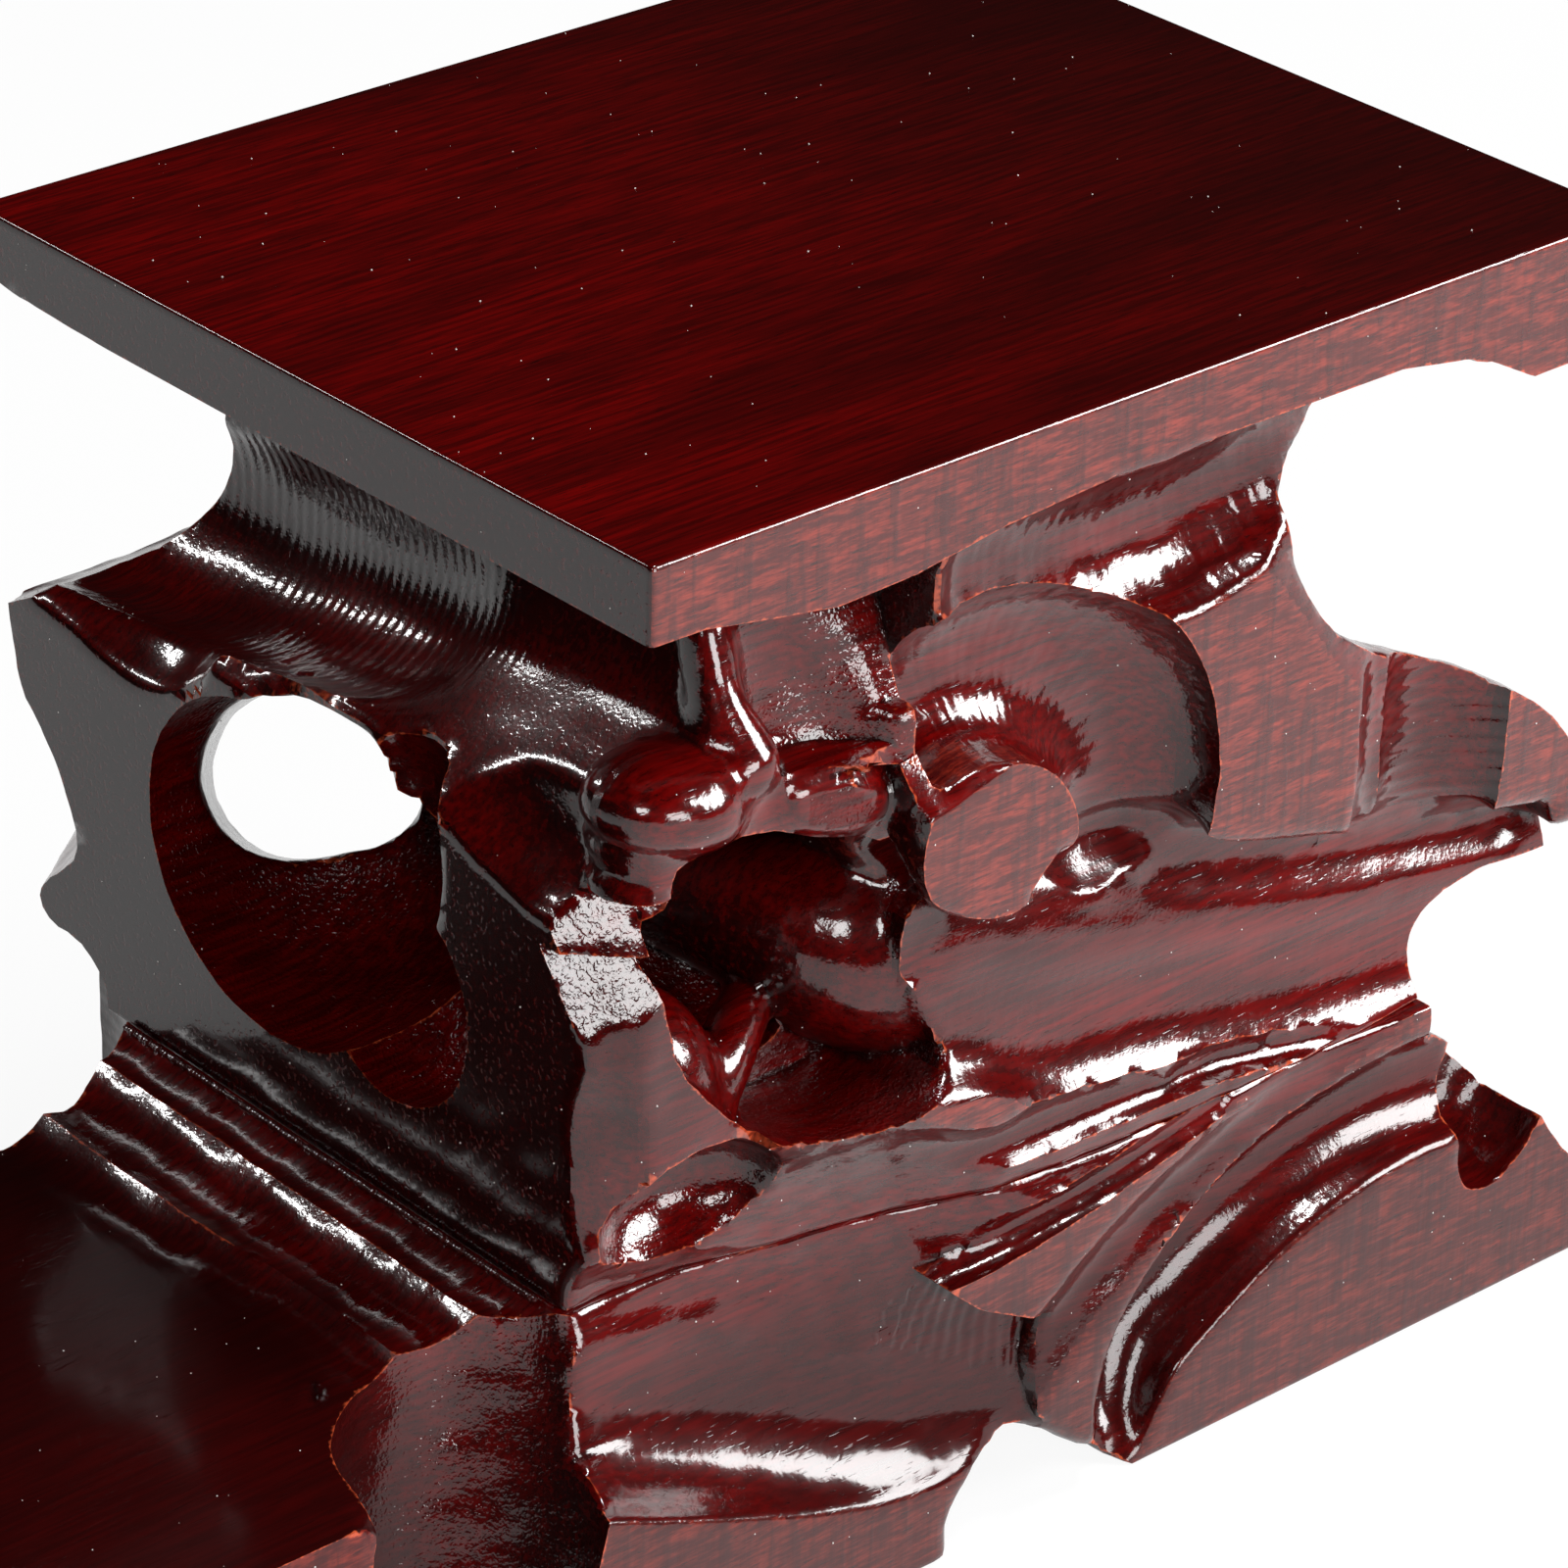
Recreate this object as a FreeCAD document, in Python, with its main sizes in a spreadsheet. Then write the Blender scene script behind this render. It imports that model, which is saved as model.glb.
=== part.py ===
import FreeCAD, Part
import math
import os
from collections import namedtuple

import Sketcher
from FreeCAD import Placement, Rotation, Vector

# A two-tier display stand carved like a gnarled root. It is sawn and gouged from two hardwood
# blocks: a base with a low platform and feet, and an upper block whose top is the high platform.
# The blocks are glued face to face over two hidden dowels, and a bead of glue and lacquer fills
# the corner where the upper block's left face stands on the base.
#
# Millimetres. X runs along the grain, left to right; Y from the front to the back; Z up. The
# stand's origin is at the middle of its footprint on the floor. Each block is modelled from its
# own left, front, bottom corner, and its Placement then carries it to its place in the stand.

doc = FreeCAD.newDocument("RootStand")
sheet = doc.addObject("Spreadsheet::Sheet", "Sizes")

DRIVING = {
    "LowLength": 72.0,         # left end of the base to the upper block's left face
    "TierLength": 80.0,        # upper block along the grain
    "ToeLength": 8.0,          # the base's right foot past the upper block's right end
    "TierDepth": 65.0,         # both blocks, front to back
    "BaseHeight": 25.0,        # base block, floor to glue joint
    "UpperHeight": 52.5,       # upper block, glue joint to high platform
    "PlateEdge": 5.0,          # thickness of the high platform at its edge
    "PlatformDrop": 2.5,       # low platform's face below the glue joint
    "LimbLap": 2.2,            # each limb of a root runs this much past its knuckle
    "DowelRadius": 3.0,
    "DowelLength": 20.0,
    "DowelEndRoom": 1.0,       # glue room past each end of a dowel
    "DowelFit": 0.05,          # radial glue room round a dowel
    "DowelInset": 22.0,        # dowel axes, from the front and back faces
    "DowelFirst": 38.0,        # first dowel, from the upper block's left face
    "DowelPitch": 14.0,        # from the first dowel to the second, along the grain
    "BeadSize": 0.9,           # legs of the glue bead's section
    "BeadStart": 9.5,          # near end of the bead, from the front face
    "BeadBackRoom": 14.0,      # far end of the bead, from the back face
}

next_row = 1


def note_size(alias, value):
    """Write one named size on the next row of the sheet."""
    global next_row
    sheet.set("A{}".format(next_row), alias)
    sheet.set("B{}".format(next_row), repr(float(value)))
    sheet.setAlias("B{}".format(next_row), alias)
    next_row += 1


for size_name, size_value in DRIVING.items():
    note_size(size_name, size_value)

# A place is an edge of a block and a distance from it, into the wood (or past it, when negative).
# Each edge lies at a sum of driving sizes, and the number turns its distances inward.
EDGES = {
    "left": ("", 1),
    "front": ("", 1),
    "bottom": ("", 1),
    "axis": ("", 1),                                        # of a turned groove
    "joint": ("+LowLength", 1),                             # the upper block's left face
    "right": ("+TierLength", -1),
    "end": ("+LowLength +TierLength +ToeLength", -1),       # of the base
    "back": ("+TierDepth", -1),
    "top": ("+UpperHeight", -1),
    "plate": ("+UpperHeight -PlateEdge", -1),               # the high platform's lower edge
    "glue": ("+BaseHeight", -1),
    "platform": ("+BaseHeight -PlatformDrop", -1),          # the low platform's face
}


def edge_expression(edge):
    """The edge's place as an expression that starts at nothing and adds or takes its terms."""
    return "0" + "".join(" {} Sizes.{}".format(term[0], term[1:]) for term in EDGES[edge][0].split())


def edge_value(edge):
    return sum(float(term[0] + "1") * DRIVING[term[1:]] for term in EDGES[edge][0].split())


BASE_LENGTH = edge_expression("end")


def bind(thing, path, alias, place):
    """Tie a property or a sketch constraint to a place whose distance is kept in the sheet."""
    edge, distance = place
    note_size(alias, distance)
    sign = "+" if EDGES[edge][1] > 0 else "-"
    thing.setExpression(path, "{} {} Sizes.{}".format(edge_expression(edge), sign, alias))


def where(place):
    """The same place as a number, to start a sketch or a primitive near its solved position."""
    edge, distance = place
    return edge_value(edge) + EDGES[edge][1] * distance


def plane_of(body, role):
    return [plane for plane in body.Origin.OriginFeatures if plane.Role == role][0]


# ---------------------------------------------------------------- outlines, scoops and roots

# A corner of an outline. The radius is that of the arc to the next corner: 0 draws a straight
# line, a positive radius turns left on the way, and a negative one turns right.
Point = namedtuple("Point", "across up radius")
Scoop = namedtuple("Scoop", "name at radius")           # one hollow of a round gouge
Stroke = namedtuple("Stroke", "name start end radius")  # a straight run of a round gouge
Station = namedtuple("Station", "at radius")            # a knuckle of a root


def outline(body, name, role, points):
    """A closed outline of lines and arcs. Each corner is tied to its place in the sheet."""
    sketch = body.newObject("Sketcher::SketchObject", name)
    sketch.AttachmentSupport = (plane_of(body, role), [""])
    sketch.MapMode = "FlatFace"
    corners = [Vector(where(p.across), where(p.up), 0) for p in points]
    count = len(points)
    for index, point in enumerate(points):
        start, end = corners[index], corners[(index + 1) % count]
        if point.radius == 0:
            sketch.addGeometry(Part.LineSegment(start, end))
            continue
        chord = end - start
        half = chord.Length / 2
        size = abs(point.radius)
        side = Vector(chord.y, -chord.x, 0).normalize() * math.copysign(1, point.radius)
        sagitta = size - math.sqrt(size * size - half * half)
        sketch.addGeometry(Part.Arc(start, start + chord / 2 + side * sagitta, end))
    ends = []
    for index, point in enumerate(points):
        ends.append((2, 1) if point.radius < 0 else (1, 2))
    for index in range(count):
        following = (index + 1) % count
        sketch.addConstraint(Sketcher.Constraint("Coincident", index, ends[index][1],
                                                 following, ends[following][0]))
    for index, point in enumerate(points):
        tag = "{}_{}".format(name, index + 1)
        for kind, place, axis in (("DistanceX", point.across, "a"), ("DistanceY", point.up, "b")):
            which = sketch.addConstraint(Sketcher.Constraint(kind, -1, 1, index, ends[index][0],
                                                             where(place)))
            bind(sketch, "Constraints[{}]".format(which), tag + axis, place)
        if point.radius != 0:
            which = sketch.addConstraint(Sketcher.Constraint("Radius", index, abs(point.radius)))
            note_size(tag + "r", abs(point.radius))
            sketch.setExpression("Constraints[{}]".format(which), "Sizes.{}r".format(tag))
    return sketch


def stock(body, length, depth, height):
    """The sawn block that everything is carved from, its sides given as expressions."""
    block = body.newObject("PartDesign::AdditiveBox", "Stock")
    for side, expression in (("Length", length), ("Width", depth), ("Height", height)):
        block.setExpression(side, expression)


def saw_out(body, name, role, points, depth=None):
    """Saw an outline out of the block, right through or to a depth kept in the sheet."""
    sketch = outline(body, name, role, points)
    cut = body.newObject("PartDesign::Pocket", name + "Cut")
    cut.Profile = sketch
    cut.Refine = False
    cut.Reversed = role == "YZ_Plane"
    if depth is None:
        cut.Type = "ThroughAll"
    else:
        note_size(name + "Depth", depth)
        cut.Type = "Length"
        cut.setExpression("Length", "Sizes.{}Depth".format(name))


def point_at(at):
    return Vector(*[where(place) for place in at])


def tie_place(primitive, name, at):
    """Tie a primitive's own origin to a place in the block."""
    for axis, place in zip("xyz", at):
        bind(primitive, ".Placement.Base." + axis, name + axis.upper(), place)


def carve(body, tool):
    """One hollow or one stroke of a round gouge."""
    note_size(tool.name + "Radius", tool.radius)
    if isinstance(tool, Scoop):
        cut = body.newObject("PartDesign::SubtractiveSphere", tool.name)
        cut.Placement = Placement(point_at(tool.at), Rotation())
        tie_place(cut, tool.name, tool.at)
    else:
        cut = body.newObject("PartDesign::SubtractiveCylinder", tool.name)
        run = point_at(tool.end) - point_at(tool.start)
        cut.Height = run.Length
        cut.Placement = Placement(point_at(tool.start), Rotation(Vector(0, 0, 1), run))
        tie_place(cut, tool.name, tool.start)
    cut.Refine = False
    cut.setExpression("Radius", "Sizes.{}Radius".format(tool.name))


def turn_groove(body, name, centre, points, start, sweep):
    """A groove turned about an axis that points to the back, its section given from the axis."""
    sketch = outline(body, name, "XY_Plane", points)
    across, up = centre
    sketch.AttachmentOffset = Placement(Vector(where(across), 0, where(up)),
                                        Rotation(Vector(0, 1, 0), -start))
    bind(sketch, "AttachmentOffset.Base.x", name + "X", across)
    bind(sketch, "AttachmentOffset.Base.z", name + "Z", up)
    groove = body.newObject("PartDesign::Groove", name + "Cut")
    groove.Profile = sketch
    groove.ReferenceAxis = (sketch, ["V_Axis"])
    groove.Reversed = True
    groove.Refine = False
    note_size(name + "Sweep", sweep)
    groove.setExpression("Angle", "Sizes.{}Sweep * 1 deg".format(name))


def bore(body, name, at, radius, depth, upward):
    """A blind round bore, drilled up or down from its mouth."""
    hole = body.newObject("PartDesign::SubtractiveCylinder", name)
    hole.Refine = False
    hole.setExpression("Radius", radius)
    hole.setExpression("Height", depth)
    turn = (0, 0, 0) if upward else (0, 0, 180)
    hole.Placement = Placement(Vector(0, 0, 0), Rotation(*turn))
    for axis, expression in zip("xyz", at):
        hole.setExpression(".Placement.Base." + axis, expression)


def root(body, name, stations):
    """A root that tapers from knuckle to knuckle, one straight limb after another."""
    for number, (here, there) in enumerate(zip(stations, stations[1:]), 1):
        tag = "{}{}".format(name, number)
        run = point_at(there.at) - point_at(here.at)
        limb = body.newObject("PartDesign::AdditiveCone", tag + "Limb")
        limb.Refine = False
        note_size(tag + "From", here.radius)
        note_size(tag + "To", there.radius)
        limb.setExpression("Radius1", "Sizes.{}From".format(tag))
        limb.setExpression("Radius2", "Sizes.{}To".format(tag))
        note_size(tag + "Run", run.Length)
        limb.setExpression("Height", "Sizes.{}Run + Sizes.LimbLap".format(tag))
        limb.Placement = Placement(point_at(here.at), Rotation(Vector(0, 0, 1), run))
        tie_place(limb, tag, here.at)


# ---------------------------------------------------------------- upper block

def make_upper_block():
    """High platform, neck, openwork left end, front cavity, root band and sawn stubs."""
    body = doc.addObject("PartDesign::Body", "UpperBlock")
    body.Label = "upper_block"
    stock(body, "Sizes.TierLength", "Sizes.TierDepth", "Sizes.UpperHeight")

    # The throat between the right end of the high platform and the root below it.
    saw_out(body, "Throat", "XZ_Plane", [
        Point(("right", -2.0), ("plate", 4.0), 0),
        Point(("right", 8.0), ("plate", 4.0), 0),
        Point(("right", 17.0), ("plate", 1.0), 8.5),
        Point(("right", 25.5), ("bottom", 32.0), 0),
        Point(("right", 9.0), ("bottom", 23.5), -12.0),
        Point(("right", 0.6), ("bottom", 10.0), 0),
        Point(("right", -2.0), ("bottom", 10.0), 0),
    ])
    # The notch under the root's right end, down to the glue joint.
    saw_out(body, "Notch", "XZ_Plane", [
        Point(("right", -2.0), ("bottom", -2.0), 0),
        Point(("right", -2.0), ("bottom", 6.3), 0),
        Point(("right", 9.0), ("bottom", 6.3), 5.0),
        Point(("right", 13.2), ("bottom", 2.5), 0),
        Point(("right", 13.2), ("bottom", -2.0), 0),
    ])
    # The coves that leave the platform's left and back edges standing out as a plate.
    saw_out(body, "LeftCove", "XZ_Plane", [
        Point(("left", -2.0), ("plate", 0.0), 0),
        Point(("left", 2.0), ("plate", 0.0), 0),
        Point(("left", 12.5), ("plate", 1.5), -8.5),
        Point(("left", 0.0), ("bottom", 36.2), 0),
        Point(("left", -2.0), ("bottom", 36.2), 0),
    ])
    saw_out(body, "BackCove", "YZ_Plane", [
        Point(("back", -2.0), ("plate", 0.0), 0),
        Point(("back", -2.0), ("bottom", 30.0), 0),
        Point(("back", 2.5), ("bottom", 30.0), -12.0),
        Point(("back", 12.0), ("plate", 1.2), 0),
        Point(("back", 2.0), ("plate", 0.0), 0),
    ])
    # The bed that the long roots lie in, along the foot of the front face.
    saw_out(body, "RootBed", "XZ_Plane", [
        Point(("left", 8.0), ("bottom", -2.0), 0),
        Point(("left", 8.0), ("bottom", 14.0), 0),
        Point(("left", 14.0), ("bottom", 25.0), 0),
        Point(("right", 35.0), ("bottom", 14.5), 0),
        Point(("right", -2.0), ("bottom", 6.8), 0),
        Point(("right", -2.0), ("bottom", -2.0), 0),
    ], depth=5.5)

    for tool in [
        # The openwork left end: two hollows behind the end face, and the way through to the back.
        Scoop("BowlLow", (("left", 5.0), ("front", 28.0), ("bottom", 17.5)), 11.6),
        Scoop("BowlHigh", (("left", 7.0), ("front", 35.5), ("bottom", 20.3)), 14.2),
        Stroke("WayOut", (("left", 1.0), ("back", 34.0), ("bottom", 26.0)),
               (("left", 36.0), ("back", -5.0), ("bottom", -2.0)), 8.0),
        # The cove drops away past both ends of the ring.
        Scoop("FarFall", (("left", -1.0), ("back", 17.0), ("bottom", 37.6)), 9.2),
        Scoop("FarEnd", (("left", -2.0), ("back", 6.0), ("bottom", 36.6)), 10.2),
        Scoop("NearFall", (("left", 2.0), ("front", 6.0), ("bottom", 37.8)), 9.2),
        # The near corner is worked back to a knobbly column, with a cavity beside it.
        Scoop("CornerTop", (("left", -3.0), ("front", -3.0), ("bottom", 25.5)), 10.8),
        Scoop("CornerFoot", (("left", -3.0), ("front", -3.0), ("bottom", 4.0)), 12.0),
        Stroke("Cavity", (("left", 11.5), ("front", -4.0), ("bottom", 19.5)),
               (("left", 18.0), ("front", 14.5), ("bottom", 17.0)), 9.2),
        # Hollows of the front face under the platform.
        Scoop("NeckRecess", (("left", 11.0), ("front", -4.0), ("bottom", 39.2)), 8.2),
        Stroke("PlateGroove", (("left", 30.0), ("front", -3.1), ("bottom", 38.2)),
               (("right", 24.0), ("front", -0.6), ("bottom", 39.8)), 3.0),
        Stroke("Pool", (("left", 33.0), ("front", 0.5), ("bottom", 21.5)),
               (("left", 47.0), ("front", 1.5), ("bottom", 17.0)), 4.4),
        Stroke("Flute", (("right", 17.0), ("front", -2.0), ("bottom", 31.0)),
               (("right", 10.0), ("front", -1.6), ("bottom", 1.0)), 4.7),
        # The back, worked in above and below the swell of the block.
        Stroke("BackNotch", (("left", -4.0), ("back", 0.5), ("bottom", 11.0)),
               (("left", 32.0), ("back", -6.5), ("bottom", 13.0)), 7.0),
        Stroke("BackHollow", (("left", 30.0), ("back", -7.0), ("bottom", 14.0)),
               (("right", -4.0), ("back", -8.0), ("bottom", 18.0)), 12.0),
        Stroke("BackFlute", (("right", 8.0), ("back", 0.0), ("bottom", 34.0)),
               (("right", 15.0), ("back", -2.0), ("bottom", -3.0)), 5.5),
    ]:
        carve(body, tool)

    # A ring groove leaves a round stub standing in the middle of the front face.
    turn_groove(body, "StubGroove", (("left", 26.5), ("bottom", 26.0)), [
        Point(("axis", 6.2), ("front", -1.5), 0),
        Point(("axis", 6.8), ("front", 5.6), 0),
        Point(("axis", 10.0), ("front", 7.0), 0),
        Point(("axis", 15.5), ("front", 4.8), 0),
        Point(("axis", 20.5), ("front", -1.5), 0),
    ], start=-75, sweep=195)

    # Two roots lie in the bed: a thick one that runs the whole length and a thin one under it.
    root(body, "LongRoot", [
        Station((("left", 11.0), ("front", 9.0), ("bottom", 18.5)), 5.2),
        Station((("left", 24.0), ("front", 7.2), ("bottom", 16.5)), 6.6),
        Station((("right", 35.0), ("front", 6.0), ("bottom", 9.6)), 5.4),
        Station((("right", 3.0), ("front", 5.4), ("bottom", 4.2)), 3.0),
    ])
    root(body, "ThinRoot", [
        Station((("left", 7.0), ("front", 9.5), ("bottom", 6.5)), 4.6),
        Station((("left", 22.0), ("front", 6.0), ("bottom", 6.0)), 4.0),
        Station((("left", 46.0), ("front", 6.0), ("bottom", 3.2)), 2.6),
    ])

    for number in (1, 2):
        bore(body, "UpperBore{}".format(number),
             (dowel_along(number) + " - Sizes.LowLength", dowel_across(number), "0"),
             "Sizes.DowelRadius + Sizes.DowelFit",
             "Sizes.DowelLength / 2 + Sizes.DowelEndRoom", upward=True)

    body.setExpression(".Placement.Base.x", "Sizes.LowLength - ({}) / 2".format(BASE_LENGTH))
    body.setExpression(".Placement.Base.y", "-Sizes.TierDepth / 2")
    body.setExpression(".Placement.Base.z", "Sizes.BaseHeight")
    return body


# ---------------------------------------------------------------- base block

def make_base_block():
    """Low platform, cove up to the glue joint, roots, arches and feet."""
    body = doc.addObject("PartDesign::Body", "BaseBlock")
    body.Label = "base_block"
    stock(body, BASE_LENGTH, "Sizes.TierDepth", "Sizes.BaseHeight")

    # The low platform, and the cove that rises from it to the glue joint.
    saw_out(body, "PlatformCut", "XZ_Plane", [
        Point(("left", -2.0), ("glue", -2.0), 0),
        Point(("left", -2.0), ("platform", 0.0), 0),
        Point(("joint", -14.0), ("platform", 0.0), 0),
        Point(("joint", -10.0), ("platform", 0.9), 12.0),
        Point(("joint", 0.0), ("glue", 0.0), 0),
        Point(("joint", 0.0), ("glue", -2.0), 0),
    ])
    # The right end falls from the glue joint to a low toe.
    saw_out(body, "EndFall", "XZ_Plane", [
        Point(("end", 21.5), ("glue", -2.0), 0),
        Point(("end", 21.5), ("glue", 1.0), 0),
        Point(("end", 16.0), ("glue", 5.5), -26.0),
        Point(("end", 6.0), ("bottom", 7.8), -12.0),
        Point(("end", 0.0), ("bottom", 1.2), 0),
        Point(("end", -2.0), ("bottom", 1.2), 0),
        Point(("end", -2.0), ("glue", -2.0), 0),
    ])
    # Arches between the feet, sawn right through from front to back.
    saw_out(body, "SmallArch", "XZ_Plane", [
        Point(("joint", 24.5), ("bottom", -2.0), 0),
        Point(("joint", 24.5), ("bottom", 3.5), -5.0),
        Point(("joint", 29.0), ("bottom", 7.8), -22.0),
        Point(("joint", 42.0), ("bottom", 0.0), 0),
        Point(("joint", 42.0), ("bottom", -2.0), 0),
    ])
    saw_out(body, "WideArch", "XZ_Plane", [
        Point(("left", 17.0), ("bottom", -2.0), 0),
        Point(("left", 17.0), ("bottom", 2.0), -14.0),
        Point(("left", 30.0), ("bottom", 13.5), -40.0),
        Point(("joint", -24.0), ("bottom", 12.0), -16.0),
        Point(("joint", -10.0), ("bottom", 0.0), 0),
        Point(("joint", -10.0), ("bottom", -2.0), 0),
    ])
    # Arches under the ends, sawn right through from left to right.
    saw_out(body, "EndArch", "YZ_Plane", [
        Point(("front", 19.0), ("bottom", -2.0), 0),
        Point(("front", 19.0), ("bottom", 1.0), -17.0),
        Point(("back", 19.0), ("bottom", 1.0), 0),
        Point(("back", 19.0), ("bottom", -2.0), 0),
    ])

    for tool in [
        # The upright end-grain gouge between the platform and the near corner of the joint.
        Stroke("CornerFlute", (("joint", -8.0), ("front", 5.0), ("glue", -3.0)),
               (("joint", -10.5), ("front", -7.0), ("bottom", -3.0)), 8.3),
        # A gouge strip along the cove.
        Stroke("CoveStrip", (("joint", -6.0), ("front", -2.0), ("glue", 2.2)),
               (("joint", -6.0), ("back", -2.0), ("glue", 1.6)), 3.2),
        # The underside of the platform is hollowed in from all three edges.
        Scoop("UnderFront", (("left", 38.0), ("front", -28.0), ("bottom", -8.0)), 38.0),
        Scoop("UnderBack", (("left", 36.0), ("back", -27.0), ("bottom", -8.5)), 38.0),
        Scoop("UnderEnd", (("left", -28.5), ("back", 32.5), ("bottom", -8.0)), 38.0),
        # Grooves between the roots on the front of the base.
        Stroke("FootEdge", (("joint", -5.0), ("front", -1.0), ("bottom", 18.2)),
               (("joint", 26.0), ("front", -1.0), ("bottom", 5.2)), 3.0),
        Stroke("Crevice", (("joint", 8.0), ("front", -2.3), ("bottom", 18.0)),
               (("end", 18.0), ("front", -0.6), ("glue", 1.0)), 2.6),
        Stroke("FootPocket", (("end", 17.0), ("front", -3.0), ("bottom", 14.0)),
               (("end", 12.5), ("front", 5.0), ("bottom", 17.0)), 4.6),
        # The back, worked in above the back feet and under the glue joint.
        Scoop("BackScoop", (("joint", 29.0), ("back", -5.0), ("glue", -4.0)), 13.0),
        Scoop("BackGap", (("end", 32.0), ("back", -20.0), ("bottom", 1.0)), 26.0),
    ]:
        carve(body, tool)

    # A round groove follows the top of the long right foot.
    turn_groove(body, "FootGroove", (("end", 24.0), ("bottom", -10.5)), [
        Point(("axis", 25.4), ("front", -1.0), 0),
        Point(("axis", 27.2), ("front", 2.8), 0),
        Point(("axis", 30.4), ("front", 3.0), 0),
        Point(("axis", 32.4), ("front", -1.0), 0),
    ], start=20, sweep=140)

    for number in (1, 2):
        bore(body, "BaseBore{}".format(number),
             (dowel_along(number), dowel_across(number), "Sizes.BaseHeight"),
             "Sizes.DowelRadius + Sizes.DowelFit",
             "Sizes.DowelLength / 2 + Sizes.DowelEndRoom", upward=False)

    body.setExpression(".Placement.Base.x", "-({}) / 2".format(BASE_LENGTH))
    body.setExpression(".Placement.Base.y", "-Sizes.TierDepth / 2")
    return body


# ---------------------------------------------------------------- dowels and glue bead

def dowel_along(number):
    """Where a dowel stands along the base, as an expression."""
    first = "Sizes.LowLength + Sizes.DowelFirst"
    return first if number == 1 else first + " + Sizes.DowelPitch"


def dowel_across(number):
    return "Sizes.DowelInset" if number == 1 else "Sizes.TierDepth - Sizes.DowelInset"


def make_dowel(number):
    """A hidden dowel, half in each block."""
    dowel = doc.addObject("Part::Cylinder", "Dowel{}".format(number))
    dowel.Label = ("front_dowel", "back_dowel")[number - 1]
    dowel.setExpression("Radius", "Sizes.DowelRadius")
    dowel.setExpression("Height", "Sizes.DowelLength")
    dowel.setExpression(".Placement.Base.x", dowel_along(number) + " - ({}) / 2".format(BASE_LENGTH))
    dowel.setExpression(".Placement.Base.y", dowel_across(number) + " - Sizes.TierDepth / 2")
    dowel.setExpression(".Placement.Base.z", "Sizes.BaseHeight - Sizes.DowelLength / 2")
    return dowel


def make_glue_bead():
    """The bead in the corner between the upper block's left face and the base."""
    body = doc.addObject("PartDesign::Body", "GlueBead")
    body.Label = "glue_bead"
    section = body.newObject("Sketcher::SketchObject", "BeadSection")
    section.AttachmentSupport = (plane_of(body, "XZ_Plane"), [""])
    section.MapMode = "FlatFace"
    leg = DRIVING["BeadSize"]
    corners = [Vector(0, 0, 0), Vector(0, leg, 0), Vector(-leg, 0, 0)]
    for index in range(3):
        section.addGeometry(Part.LineSegment(corners[index], corners[(index + 1) % 3]))
    for index in range(3):
        section.addConstraint(Sketcher.Constraint("Coincident", index, 2, (index + 1) % 3, 1))
    section.addConstraint(Sketcher.Constraint("Coincident", 0, 1, -1, 1))
    section.addConstraint(Sketcher.Constraint("Vertical", 0))
    section.addConstraint(Sketcher.Constraint("Horizontal", 2))
    for index in (0, 2):
        which = section.addConstraint(Sketcher.Constraint("Distance", index, leg))
        section.setExpression("Constraints[{}]".format(which), "Sizes.BeadSize")
    bead = body.newObject("PartDesign::Pad", "Bead")
    bead.Profile = section
    bead.Reversed = True
    bead.setExpression("Length", "Sizes.TierDepth - Sizes.BeadStart - Sizes.BeadBackRoom")
    body.setExpression(".Placement.Base.x", "Sizes.LowLength - ({}) / 2".format(BASE_LENGTH))
    body.setExpression(".Placement.Base.y", "Sizes.BeadStart - Sizes.TierDepth / 2")
    body.setExpression(".Placement.Base.z", "Sizes.BaseHeight")
    return body


# ---------------------------------------------------------------- build, check and write

parts = [make_upper_block(), make_base_block(), make_dowel(1), make_dowel(2), make_glue_bead()]
doc.recompute()

for thing in doc.Objects:
    if "Invalid" in thing.State or "Error" in thing.State:
        raise RuntimeError("{} failed: {}".format(thing.Label, thing.State))
for thing in doc.Objects:
    # A cut that takes nothing away, or a root that adds nothing, is a mistake in its place.
    base = getattr(thing, "BaseFeature", None)
    if base is None or thing.TypeId == "PartDesign::Body":
        continue
    gain = thing.Shape.Volume - base.Shape.Volume
    adds = "Additive" in thing.TypeId
    if (gain if adds else -gain) < 1e-3:
        raise RuntimeError("{} changes nothing".format(thing.Label))
for part in parts:
    if part.Shape.isNull() or not part.Shape.isValid():
        raise RuntimeError("{} has no valid shape".format(part.Label))

os.makedirs("parts", exist_ok=True)
for part in parts:
    part.Shape.exportStep("parts/{}.step".format(part.Label))
    box = part.Shape.BoundBox
    print("{:12s} solids {} volume {:9.1f}  x {:.2f}..{:.2f}  y {:.2f}..{:.2f}  z {:.2f}..{:.2f}".format(
        part.Label, len(part.Shape.Solids), part.Shape.Volume,
        box.XMin, box.XMax, box.YMin, box.YMax, box.ZMin, box.ZMax))
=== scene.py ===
import math
from collections import namedtuple

import bpy
import numpy as np
from mathutils import Euler, Matrix, Vector


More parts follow.
